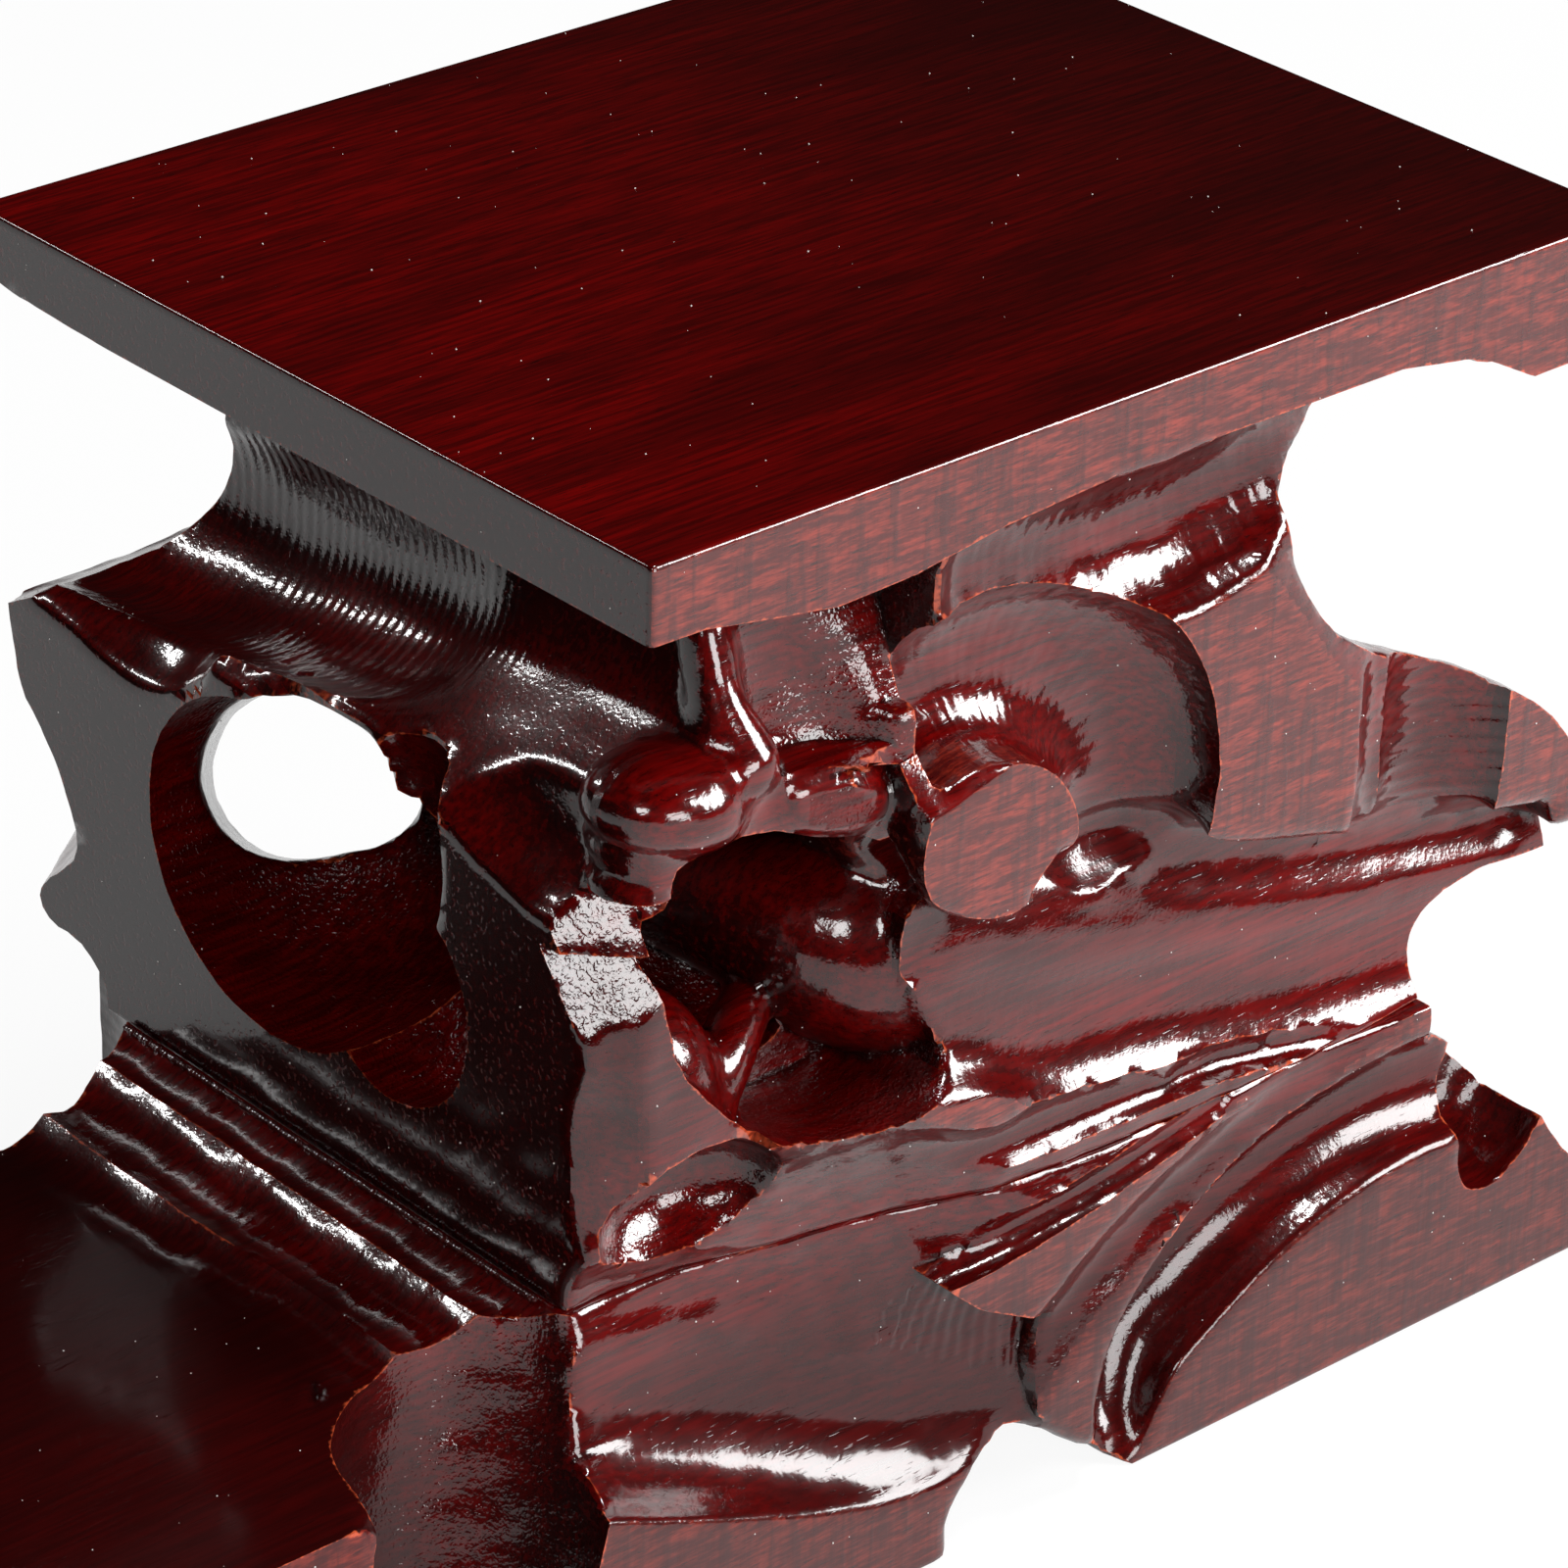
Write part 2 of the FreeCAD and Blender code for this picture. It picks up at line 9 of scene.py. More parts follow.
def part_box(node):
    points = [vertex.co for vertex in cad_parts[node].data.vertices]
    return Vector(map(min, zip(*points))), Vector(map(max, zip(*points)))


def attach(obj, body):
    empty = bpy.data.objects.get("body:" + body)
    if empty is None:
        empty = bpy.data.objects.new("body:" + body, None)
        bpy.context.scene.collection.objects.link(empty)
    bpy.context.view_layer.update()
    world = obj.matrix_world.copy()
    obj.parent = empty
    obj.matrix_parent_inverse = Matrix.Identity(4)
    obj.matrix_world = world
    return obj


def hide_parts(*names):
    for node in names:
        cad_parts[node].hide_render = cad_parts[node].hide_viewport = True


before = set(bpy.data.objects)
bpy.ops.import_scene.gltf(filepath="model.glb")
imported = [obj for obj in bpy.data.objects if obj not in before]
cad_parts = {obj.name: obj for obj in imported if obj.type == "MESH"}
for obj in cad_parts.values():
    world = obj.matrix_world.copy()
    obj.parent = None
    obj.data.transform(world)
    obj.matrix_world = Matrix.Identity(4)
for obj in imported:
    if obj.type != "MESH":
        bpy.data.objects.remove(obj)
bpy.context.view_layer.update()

# The stand is carved on a bench: millimetres, x from the upper block's left face, y from the
# front face, z from the floor. Everything is carved there and then carried to the frame.
MM = 0.001
upper_low, upper_high = (np.array(corner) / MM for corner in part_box("upper_block"))
base_low, base_high = (np.array(corner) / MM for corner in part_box("base_block"))
BENCH = np.array([upper_low[0], upper_low[1], 0.0])
LENGTH, DEPTH = (upper_high - upper_low)[:2]
JOINT, TOP = upper_low[2], upper_high[2]
LEFT_END, RIGHT_END = base_low[0] - BENCH[0], base_high[0] - BENCH[0]
PLATFORM_DROP = 2.5  # from the joint down to the low platform
LOW_TOP = JOINT - PLATFORM_DROP


# ---------------------------------------------------------------- gouges, saws and roots

FAR = 1e9                   # farther off than anything on the bench
TINY, TINIER = 1e-9, 1e-12  # keep a length that may be nothing from being divided by
ENDLESS = (-400, 400)       # a span past both ends of any piece
LEAN_REACH = 100            # how far along its axis a leaning outline is followed
BESIDE = (0.3, 0.1, 0.95)   # a stroke's turn is counted from a line square to this
AXES = {"x": (1, 2, 0), "y": (0, 2, 1), "z": (0, 1, 2)}


def smooth_line(points, turns):
    """A smooth line through a few chosen points (Catmull-Rom), each with its radius."""
    points = np.asarray(points, float)
    if len(points) == 2:
        return points
    ends = np.vstack([2 * points[0] - points[1], points, 2 * points[-1] - points[-2]])
    line = []
    for a, b, c, d in zip(ends, ends[1:], ends[2:], ends[3:]):
        for t in np.arange(turns) / turns:
            line.append(0.5 * (2 * b + (c - a) * t + (2 * a - 5 * b + 4 * c - d) * t ** 2
                               + (3 * b - 3 * c + d - a) * t ** 3))
    line.append(points[-1])
    return np.array(line)


class Tool:
    """A shape that cuts or is added. trace() gives each point's distance to its surface, which is
    less than zero inside it, and how far along the stroke and around it the point lies."""

    def distance(self, points):
        return self.trace(points)[0]


class Path(Tool):
    """Round-ended cones along a line: the way of a round gouge, or a root."""

    def __init__(self, *points, turns=5):
        line = smooth_line(points, turns)
        self.start, self.end = line[:-1, :3], line[1:, :3]
        self.start_radius, self.end_radius = line[:-1, 3], line[1:, 3]
        self.low = (line[:, :3] - line[:, 3:]).min(0)
        self.high = (line[:, :3] + line[:, 3:]).max(0)

    def trace(self, points):
        best = np.full(len(points), FAR)
        run, turn = np.zeros(len(points)), np.zeros(len(points))
        travelled = 0.0
        for a, b, ra, rb in zip(self.start, self.end, self.start_radius, self.end_radius):
            way = b - a
            size = way @ way
            length = math.sqrt(size)
            off = points - a
            share = np.clip(off @ way / size, 0, 1)
            off = off - share[:, None] * way
            gap = np.sqrt((off * off).sum(1)) - (ra + (rb - ra) * share)
            closer = gap < best
            best = np.where(closer, gap, best)
            run = np.where(closer, travelled + share * length, run)
            side = np.cross(way / length, BESIDE)
            side /= np.linalg.norm(side)
            other = np.cross(way / length, side)
            turn = np.where(closer, np.arctan2(off @ other, off @ side) * max(ra, rb), turn)
            travelled += length
        return best, run, turn


class Ball(Tool):
    """An egg-shaped hollow or swelling, with its half sizes along x, y and z."""

    def __init__(self, centre, half, turn=(0, 0, 0)):
        self.centre = np.array(centre, float)
        self.half = np.array(half, float)
        self.turn = np.array(Euler([math.radians(a) for a in turn]).to_matrix())
        reach = np.sqrt(((self.turn * self.half) ** 2).sum(1))
        self.low, self.high = self.centre - reach, self.centre + reach

    def trace(self, points):
        local = (points - self.centre) @ self.turn
        near = np.sqrt(((local / self.half) ** 2).sum(1))
        slope = np.sqrt(((local / self.half ** 2) ** 2).sum(1)) + TINY
        gap = near * (near - 1) / slope
        run = np.arctan2(local[:, 1], local[:, 0]) * self.half[0]
        return gap, run, local[:, 2]


class Prism(Tool):
    """An outline swept along one axis. rounds softens its corners; lean shifts it as it goes."""

    def __init__(self, axis, outline, span=ENDLESS, rounds=0, lean=(0, 0)):
        self.across, self.up, self.along = AXES[axis]
        self.span = span
        self.lean = np.array(lean, float)
        outline = np.array(outline, float)
        for _ in range(rounds):
            following = np.roll(outline, -1, 0)
            outline = np.stack([0.75 * outline + 0.25 * following,
                                0.25 * outline + 0.75 * following], 1).reshape(-1, 2)
        self.outline = outline
        slack = LEAN_REACH * np.abs(self.lean)
        order = [self.across, self.up, self.along]
        self.low, self.high = np.zeros(3), np.zeros(3)
        self.low[order] = *(outline.min(0) - slack), span[0]
        self.high[order] = *(outline.max(0) + slack), span[1]

    def trace(self, points):
        along = points[:, self.along]
        flat = points[:, (self.across, self.up)] - self.lean * along[:, None]
        best = np.full(len(points), FAR)
        inside = np.zeros(len(points), bool)
        for a, b in zip(self.outline, np.roll(self.outline, -1, 0)):
            way = b - a
            off = flat - a
            share = np.clip(off @ way / (way @ way), 0, 1)
            best = np.minimum(best, ((off - share[:, None] * way) ** 2).sum(1))
            crosses = (a[1] > flat[:, 1]) != (b[1] > flat[:, 1])
            with np.errstate(divide="ignore", invalid="ignore"):
                inside ^= crosses & (flat[:, 0] < a[0] + way[0] * (flat[:, 1] - a[1]) / way[1])
        side = np.where(inside, -1, 1) * np.sqrt(best)
        ends = np.maximum(self.span[0] - along, along - self.span[1])
        return np.maximum(side, ends), along, flat.sum(1)


class Face(Tool):
    """A sawn or planed face: all that lies past a plane, within a window."""

    def __init__(self, at, facing, low, high):
        self.at = np.array(at, float)
        self.facing = np.array(facing, float) / np.linalg.norm(facing)
        self.low, self.high = np.array(low, float), np.array(high, float)

    def trace(self, points):
        gap = -(points - self.at) @ self.facing
        sides = np.maximum(self.low - points, points - self.high).max(1)
        return np.maximum(gap, sides), points[:, 0], points[:, 2]


# ---------------------------------------------------------------- blocks and their steps

Step = namedtuple("Step", "kind shape blend wavy walls low high finish")


def ripples(points):
    """Slow waves, within -1 and 1, that keep a hand-cut face from being dead true."""
    broad = np.sin(points @ (-0.29, 0.83, 0.52) + 1.1)
    waves = 0.6 * np.sin(points @ (0.91, 0.37, 0.66)) * broad
    return waves + 0.4 * np.sin(points @ (0.4, -1.3, 1.5) + 0.5) * np.sin(points @ (1.7, 0.6, -0.8))


class Block:
    """A sawn block and the steps that shape it, in order."""

    MARGIN = 1.6  # how far around a tool its step is worked out
    RIM = 0.28    # how round the stock's own edges are

    def __init__(self, low, high):
        self.low, self.high = np.array(low, float), np.array(high, float)
        self.steps = []

    def step(self, kind, shape, blend=0.0, within=None, wavy=0.08,
             sawn=0.0, chatter=0.08, pitted=0.06):
        """blend rounds the corner that the step leaves. within stops the tool at the walls of a
        box, so that its stroke starts with a crisp edge. wavy is how far its face strays, and
        the last three say how the lacquer shows the stroke."""
        reach = self.MARGIN + blend
        self.steps.append(Step(kind, shape, blend, wavy, within, shape.low - reach,
                               shape.high + reach, (sawn, chatter, pitted)))

    def cut(self, shape, **finish):
        self.step("cut", shape, **finish)

    def grow(self, shape, **finish):
        self.step("grow", shape, **finish)

    def stock(self, points):
        half = (self.high - self.low) / 2 - self.RIM
        off = np.abs(points - (self.low + self.high) / 2) - half
        return np.sqrt((np.maximum(off, 0) ** 2).sum(1)) + np.minimum(off.max(1), 0) - self.RIM

    def field(self, points, owners=None):
        """Distance to the carved surface, less than zero in the wood. owners, where it is given,
        takes the number of the step that each point's surface comes from, or 0 for the stock."""
        stock = self.stock(points)
        field = stock.copy()
        low, high = points.min(0), points.max(0)
        waves = ripples(points)
        for number, step in enumerate(self.steps, 1):
            if (step.low > high).any() or (step.high < low).any():
                continue
            near = np.flatnonzero(((points >= step.low) & (points <= step.high)).all(1))
            if not len(near):
                continue
            tool = step.shape.distance(points[near]) + step.wavy * waves[near]
            if step.walls:
                first, last = np.array(step.walls)
                walls = np.maximum(first - points[near], points[near] - last)
                tool = np.maximum(tool, walls.max(1))
            sign = 1 if step.kind == "cut" else -1
            old, new = sign * field[near], -tool
            mixed = np.maximum(old, new)
            if step.blend:
                overlap = np.maximum(step.blend - np.abs(old - new), 0)
                mixed = mixed + overlap ** 2 / (4 * step.blend)
            field[near] = sign * mixed
            if owners is not None:
                owners[near[new > old]] = number
        if owners is not None:
            owners[stock >= field] = 0
        return np.maximum(field, stock)


# ---------------------------------------------------------------- from field to mesh

OVERHANG = 1.2                # samples start this far outside the stock
RIM_SAMPLES = np.array([-0.34, -0.12, 0.12, 0.34])  # beside each of the stock's faces
RIM_ROOM = 0.75               # of a step: nearer samples make way for those
FINE, LESS_FINE = 0.62, 0.66  # steps between samples
MIDDLE_DEPTH = (20, 64)       # behind the carved front, where wider steps will do
LAYERS = 6                    # of samples, worked out at a time
HOMING_STEPS = 2              # towards the place where the surface crosses a sample line
HOMING_LIMITS = (0.03, 0.97)  # of the way, so that no step lands on an end
PROBE = 0.02                  # how far about a point its slope is felt
PROBES = np.array([(1, 1, 1), (1, -1, -1), (-1, 1, -1), (-1, -1, 1)], float)
PULL = 0.03                   # holds a cell's point to the middle of its crossings
BLUNT, KEEN = 24, 50          # degrees: a bend starts to count, and counts in full
SHARP_EDGE = 38               # degrees: shading breaks at a sharper bend
WIDE_TURN = 6                 # a face that turns more lies across the seam of its stroke
STROKE_SCALE = 100            # millimetres to one unit of the stroke's layout
BARE_FINISH = np.array([(0, 0, 0.01), (1, 0, 0), (0, 0, 0)])  # of the stock's end, front and top


def sample_lines(low, high, fine, wider=()):
    """Sample places along one axis: fine steps, and wider ones within chosen spans."""
    places = [low - OVERHANG]
    while places[-1] < high + OVERHANG:
        here = places[-1]
        pitch = fine
        for start, stop, wide in wider:
            if start <= here < stop:
                pitch = wide
        places.append(here + pitch)
    places = np.array(places)
    for rim in (low, high):
        near = np.abs(places - rim) < RIM_ROOM * fine
        places = np.sort(np.concatenate([places[~near], rim + RIM_SAMPLES]))
    return places


def sampled(block, lines):
    """The field wherever three sample lines meet."""
    xs, ys, zs = lines
    grid = np.empty([len(line) for line in lines], np.float32)
    for i in range(0, len(xs), LAYERS):
        slab = np.stack(np.meshgrid(xs[i:i + LAYERS], ys, zs, indexing="ij"), -1)
        grid[i:i + LAYERS] = block.field(slab.reshape(-1, 3)).reshape(slab.shape[:3])
    return grid


def crossings(block, lines, grid, axis):
    """Where the surface crosses the sample lines along one axis, and the four cells around
    each place, in an order that turns their face outwards."""
    inside = grid < 0
    lower, upper = [slice(None)] * 3, [slice(None)] * 3
    lower[axis], upper[axis] = slice(None, -1), slice(1, None)
    before = np.argwhere(inside[tuple(lower)] != inside[tuple(upper)])
    after = before + np.eye(3, dtype=int)[axis]
    first, second = (grid[tuple(spot.T)].astype(float) for spot in (before, after))
    a = np.stack([lines[n][before[:, n]] for n in range(3)], 1)
    z = a.copy()
    z[:, axis] = lines[axis][after[:, axis]]
    fa, fz = first, second
    for _ in range(HOMING_STEPS):
        middle = a + (z - a) * np.clip(fa / (fa - fz), *HOMING_LIMITS)[:, None]
        fm = block.field(middle)
        same = (fm < 0) == (fa < 0)
        a, z = np.where(same[:, None], middle, a), np.where(same[:, None], z, middle)
        fa, fz = np.where(same, fm, fa), np.where(same, fz, fm)
    points = a + (z - a) * (fa / (fa - fz))[:, None]

    cells = []
    for beside in ((-1, -1), (0, -1), (0, 0), (-1, 0)):
        cell = before.copy()
        cell[:, [(axis + 1) % 3, (axis + 2) % 3]] += beside
        cells.append(np.ravel_multi_index(cell.T, [n - 1 for n in grid.shape]))
    ring = np.stack(cells, 1)
    return points, np.where((first < 0)[:, None], ring, ring[:, ::-1])


def slopes_at(block, points):
    """The way the surface faces at each point, felt from the field close about it."""
    slopes = np.zeros_like(points)
    for probe in PROBES:
        slopes += probe * block.field(points + PROBE * probe)[:, None]
    return slopes / (np.sqrt((slopes ** 2).sum(1, keepdims=True)) + TINIER)


def fitted(points, slopes, index, total):
    """For each cell, the place that lies nearest to all the bits of surface that cross it."""
    square, right = np.zeros((total, 3, 3)), np.zeros((total, 3))
    mean = np.zeros((total, 3))
    level = (slopes * points).sum(1)
    for cells in index.T:
        for i in range(3):
            mean[:, i] += np.bincount(cells, points[:, i], total)
            right[:, i] += np.bincount(cells, slopes[:, i] * level, total)
            for j in range(3):
                square[:, i, j] += np.bincount(cells, slopes[:, i] * slopes[:, j], total)
    number = np.bincount(index.ravel(), minlength=total).astype(float)
    mean /= number[:, None]
    left = square + (PULL * number)[:, None, None] * np.eye(3)
    rest = right - np.einsum("nij,nj->ni", square, mean)
    return mean + np.linalg.solve(left, rest[:, :, None])[:, :, 0]


def skin(block, lines):
    """Meshes the field's surface with one point in each cell, so that crests stay sharp."""
    grid = sampled(block, lines)
    found = [crossings(block, lines, grid, axis) for axis in range(3)]
    points, rings = (np.concatenate(part) for part in zip(*found))
    used, index = np.unique(rings, return_inverse=True)
    index = index.reshape(rings.shape)
    places = fitted(points, slopes_at(block, points), index, len(used))
    cells = np.unravel_index(used, [n - 1 for n in grid.shape])
    low = np.stack([line[at] for line, at in zip(lines, cells)], 1)
    high = np.stack([line[at + 1] for line, at in zip(lines, cells)], 1)
    return np.clip(places, low, high), index


def largest_piece(places, quads):
    """Drops chips and closed hollows: keeps the largest connected surface."""
    label = np.arange(len(places))
    while True:
        lowest = label[quads].min(1)
        fresh = label.copy()
        for corner in quads.T:
            np.minimum.at(fresh, corner, lowest)
        fresh = fresh[fresh]
        if (fresh == label).all():
            break
        label = fresh
    names, sizes = np.unique(label[quads[:, 0]], return_counts=True)
    quads = quads[label[quads[:, 0]] == names[sizes.argmax()]]
    used, index = np.unique(quads, return_inverse=True)
    return places[used], index.reshape(quads.shape)


def edge_sharpness(places, quads, normal):
    """For each point, how sharp its sharpest edge is: above zero on a crest, below in a valley."""
    centre = places[quads].mean(1)
    pairs = np.concatenate([quads[:, [i, (i + 1) % 4]] for i in range(4)])
    pairs.sort(1)
    faces = np.tile(np.arange(len(quads)), 4)
    code = pairs[:, 0] * len(places) + pairs[:, 1]
    order = np.argsort(code, kind="stable")
    code, faces, pairs = code[order], faces[order], pairs[order]
    twin = np.flatnonzero(code[1:] == code[:-1])
    f, g = faces[twin], faces[twin + 1]
    bend = np.degrees(np.arccos(np.clip((normal[f] * normal[g]).sum(1), -1, 1)))
    value = np.clip((bend - BLUNT) / (KEEN - BLUNT), 0, 1)
    convex = ((centre[g] - centre[f]) * normal[f]).sum(1) < 0
    crest, valley = np.zeros(len(places)), np.zeros(len(places))
    for end in range(2):
        np.maximum.at(crest, pairs[twin, end], np.where(convex, value, 0))
        np.maximum.at(valley, pairs[twin, end], np.where(convex, 0, value))
    return np.where(crest >= valley, crest, -valley)


def tool_marks(block, places, quads, normal):
    """For each corner of each face, where it lies along its stroke, and its finish values."""
    owner = np.zeros(len(quads), int)
    block.field(places[quads].mean(1), owners=owner)
    owners = np.repeat(owner, 4)
    corners = places[quads.ravel()]
    facing = np.repeat(np.abs(normal).argmax(1), 4)
    layout = np.stack([np.where(facing == 0, corners[:, 1], corners[:, 0]),
                       np.where(facing == 2, corners[:, 1], corners[:, 2])], 1)
    finish = BARE_FINISH[facing]
    for number in np.unique(owner[owner > 0]):
        step = block.steps[number - 1]
        mine = owners == number
        finish[mine] = step.finish
        if step.finish[0] < 1:
            _, run, turn = step.shape.trace(corners[mine])
            layout[mine] = np.stack([run, turn], 1)
            wide = np.ptp(turn.reshape(-1, 4), 1) > WIDE_TURN
            layout[np.flatnonzero(mine).reshape(-1, 4)[wide], 1] = 0
    return layout, finish


def quad_mesh(name, places, quads):
    """A smooth mesh with sharp edges, carried from the bench to the frame."""
    mesh = bpy.data.meshes.new(name)
    mesh.vertices.add(len(places))
    mesh.vertices.foreach_set("co", ((places + BENCH) * MM).ravel())
    mesh.loops.add(quads.size)
    mesh.loops.foreach_set("vertex_index", quads.ravel().astype(np.int32))
    mesh.polygons.add(len(quads))
    mesh.polygons.foreach_set("loop_start", np.arange(len(quads), dtype=np.int32) * 4)
    mesh.update(calc_edges=True)
    mesh.polygons.foreach_set("use_smooth", np.ones(len(quads), bool))
    mesh.set_sharp_from_angle(angle=math.radians(SHARP_EDGE))
    return mesh


def add_to_scene(name, data):
    thing = bpy.data.objects.new(name, data)
    bpy.context.scene.collection.objects.link(thing)
    return thing


def carve(name, block, lines):
    """The finished piece: its mesh, with all that the lacquer reads from it."""
    places, quads = largest_piece(*skin(block, lines))
    mesh = quad_mesh(name, places, quads)
    normal = np.empty(len(quads) * 3)
    mesh.polygons.foreach_get("normal", normal)
    normal = normal.reshape(-1, 3)
    layout, finish = tool_marks(block, places, quads, normal)
    mesh.uv_layers.new(name="stroke").data.foreach_set("uv", layout.ravel() / STROKE_SCALE)
    for label, kind, domain, key, values in (
            ("finish", "FLOAT_VECTOR", "CORNER", "vector", finish.ravel()),
            ("endgrain", "FLOAT", "FACE", "value", np.abs(normal[:, 0])),
            ("edge", "FLOAT", "POINT", "value", edge_sharpness(places, quads, normal))):
        mesh.attributes.new(label, kind, domain).data.foreach_set(key, values)
    return add_to_scene(name, mesh)


# ---------------------------------------------------------------- the upper block

def turning_path(centre, ring, depth, start, stop, tool, tool_end, count=9):
    """A gouge that turns about an axis pointing to the back. Angles from +x, towards the top."""
    points = []
    for share in np.linspace(0, 1, count):
        angle = math.radians(start + (stop - start) * share)
        points.append((centre[0] + ring * math.cos(angle), depth,
                       centre[1] + ring * math.sin(angle), tool + (tool_end - tool) * share))
    return Path(*points, turns=2)


# A wide hollow and two narrow grooves run across the joint's front edge, half in each block.
FRONT_HOLLOW = Path((-6, -14.2, 24, 20), (6, -14.2, 23.4, 20), (14, -14.8, 22, 20),
                    (20, -16.2, 21, 20), (26, -18.4, 20, 20), (32, -21, 19, 20))
FALL_LINE = Path((-4, 3.4, 26.2, 3.6), (4, 3.4, 25.0, 3.6), (12, 2.6, 23.0, 3.4),
                 (20, 0.4, 21.0, 3.0), (25, -1.4, 19.6, 2.4))
SEAM_GROOVE = Path((6, 2.0, 26.8, 2.0), (12, 1.8, 25.8, 2.1), (17, 0.4, 25.4, 2.3),
                   (22, -0.6, 25.5, 2.4), (27, -1.0, 25.4, 2.3), (33, -1.2, 25.2, 2.1),
                   (40, -1.4, 25.2, 1.9), (50, -1.5, 25.2, 1.8), (62, -1.5, 25.0, 1.7))
# The line along which the long root's front face ends: how far right, and how high.
LONG_ROOT_FOOT = [(17, 42.6), (20, 41.4), (25, 38.6), (30, 36.9), (36.5, 34.1), (45, 32.7),
                  (54, 30.9), (63, 29.4), (84, 27.2)]
PLATE_THICKNESS = 5.0


def throat(block):
    """The throat at the right, sawn through from front to back."""
    block.cut(Prism("y", [(90, 68.5), (73, 68.6), (69.8, 70.2), (65, 71.6), (60, 71.6),
                          (55.6, 69.8), (52.6, 66.8), (51.8, 63.4), (52.6, 60.2), (54.6, 57.0),
                          (58.0, 53.9), (62.6, 51.4), (68.4, 48.6), (73, 46.2), (77, 43),
                          (79.6, 39), (90, 36)], rounds=2))
    block.cut(Prism("y", [(50, 61.5), (58.0, 55.7), (62.6, 53.2), (68.4, 50.4), (73, 48), (77, 45),
                          (79.6, 41), (90, 30), (90, 66), (60, 66)], span=(5, 80), rounds=1,
                    lean=(0, -0.36)), blend=1.5)


def cove_and_end_face(block):
    """The cove under the plate's left edge, the open back corner, and the end face's two falls."""
    block.cut(Path((6.2, 60, 58.2, 7), (6.2, 51, 59.0, 7), (5.5, 42, 60.8, 7), (4.7, 33, 62.6, 7),
                   (3.8, 25, 65.0, 7), (3.6, 16, 66.6, 7), (3.6, 7, 66.8, 7), (3.6, -8, 67.0, 7)),
              chatter=0.5, pitted=0.10, wavy=0.03)
    block.cut(Path((5.8, 60, 66.5, 7.4), (5.4, 42, 67.6, 7.2), (4.6, 25, 69.6, 6.8),
                   (4.2, 10, 70.6, 6.4), (4.2, -8, 71.4, 6.2)), blend=1.0, chatter=0.6, pitted=0.15)
    block.cut(Path((-13.1, 23, 81.3, 30), (-13.1, 16, 82.2, 30), (-13.1, 6, 82.5, 30)), blend=1.0,
              chatter=0.0, pitted=0.06, wavy=0.01)
    block.cut(Path((-8, 68.5, 62.5, 13), (10, 69.0, 62.5, 13), (24, 70.5, 62.0, 12),
                   (42, 72.5, 61, 12)))
    block.cut(Path((-5.0, 72, 63.4, 11.8), (-5.0, 58, 62.6, 11.8), (-5.0, 50, 61.2, 11.8)),
              blend=0.8)
    block.cut(Path((-4.6, 26, 68.0, 9.0), (-4.5, 20.7, 63.9, 9.0), (-4.5, 15, 60.6, 9),
                   (-4.8, 10, 58.8, 9), (-5.4, 7, 57.8, 8.5)), blend=0.6)
    # The end face's far edge.
    block.cut(Prism("x", [(80, 58), (64, 55), (63, 50), (62.2, 45.1), (60.0, 43), (58.1, 40.6),
                          (56.6, 37.5), (56.3, 35.2), (58.3, 33.2), (60.3, 31.6), (60.9, 30.1),
                          (59.6, 28.9), (56.9, 29.0), (54.6, 27.8), (53.4, 26.3), (54.1, 22),
                          (80, 22)], span=(-4, 14), rounds=1, lean=(0.8, 0)))


def hollow_behind_end_face(block):
    """The hollow behind the end face, its second scoop, and the way through to the back."""
    block.cut(Ball((3.0, 36.0, 42.6), (14.0, 12.6, 11.6)), chatter=0.0, pitted=0.9)
    block.cut(Ball((1.0, 24.0, 40.0), (9.0, 7.6, 7.8)), chatter=0.0, pitted=0.9)
    block.cut(Path((-2, 31.5, 52.2, 4.6), (33.0, 71.0, 24.5, 6.2)), blend=1.0)
    block.cut(Path((-2, 27.5, 53.4, 3.6), (33.0, 67.0, 26.0, 6.2)), blend=1.0)
    block.cut(Path((3, 38.5, 47.5, 5.2), (31.0, 73.0, 24.0, 6.0)), blend=1.0)
    block.cut(Ball((-1.0, 23.6, 50.0), (6.5, 4.6, 8.0)), blend=0.5)


def recess_and_set_back(block):
    """The recess under the plate's near corner, and the lower front set back beside the stub."""
    block.cut(Face((7, 6.4, 64), (-0.05, -0.93, 0.36), (1.5, -4, 60.4), (22.8, 12, 73)), blend=1.2,
              chatter=0.0, pitted=0.3)
    block.cut(Prism("y", [(15, 62), (22.8, 62), (22.8, 56.8), (19, 57.8)], span=(-4, 2.6)),
              blend=1.0, chatter=0.0, pitted=0.4)
    block.cut(Path((14, 0.8, 70, 6.6), (14.6, 0.2, 64, 7.2), (15.6, -0.6, 59.6, 6.8)),
              within=((9, -4, 58.4), (22.8, 20, 80)), blend=1.2, chatter=0.0, pitted=0.25)
    over_the_root = [(x, z + 1.8) for x, z in LONG_ROOT_FOOT[::-1]]
    block.cut(Prism("y", [(-3, 20), (-3, 64), (8, 61.6), (15, 58.6), (21.4, 57.0), (21.4, 54),
                          (22.2, 50.8), (23.6, 48.6), (26.1, 46.6), (29, 45.4), (32, 44.8),
                          (36.6, 42.6), (44.5, 40.4), (51.7, 38.8), (58.6, 37.1), (67.4, 35.8),
                          (84, 33)] + over_the_root + [(14, 38), (8, 30), (6, 20)], span=(-4, 3.6)),
              blend=0.5, chatter=0.0)


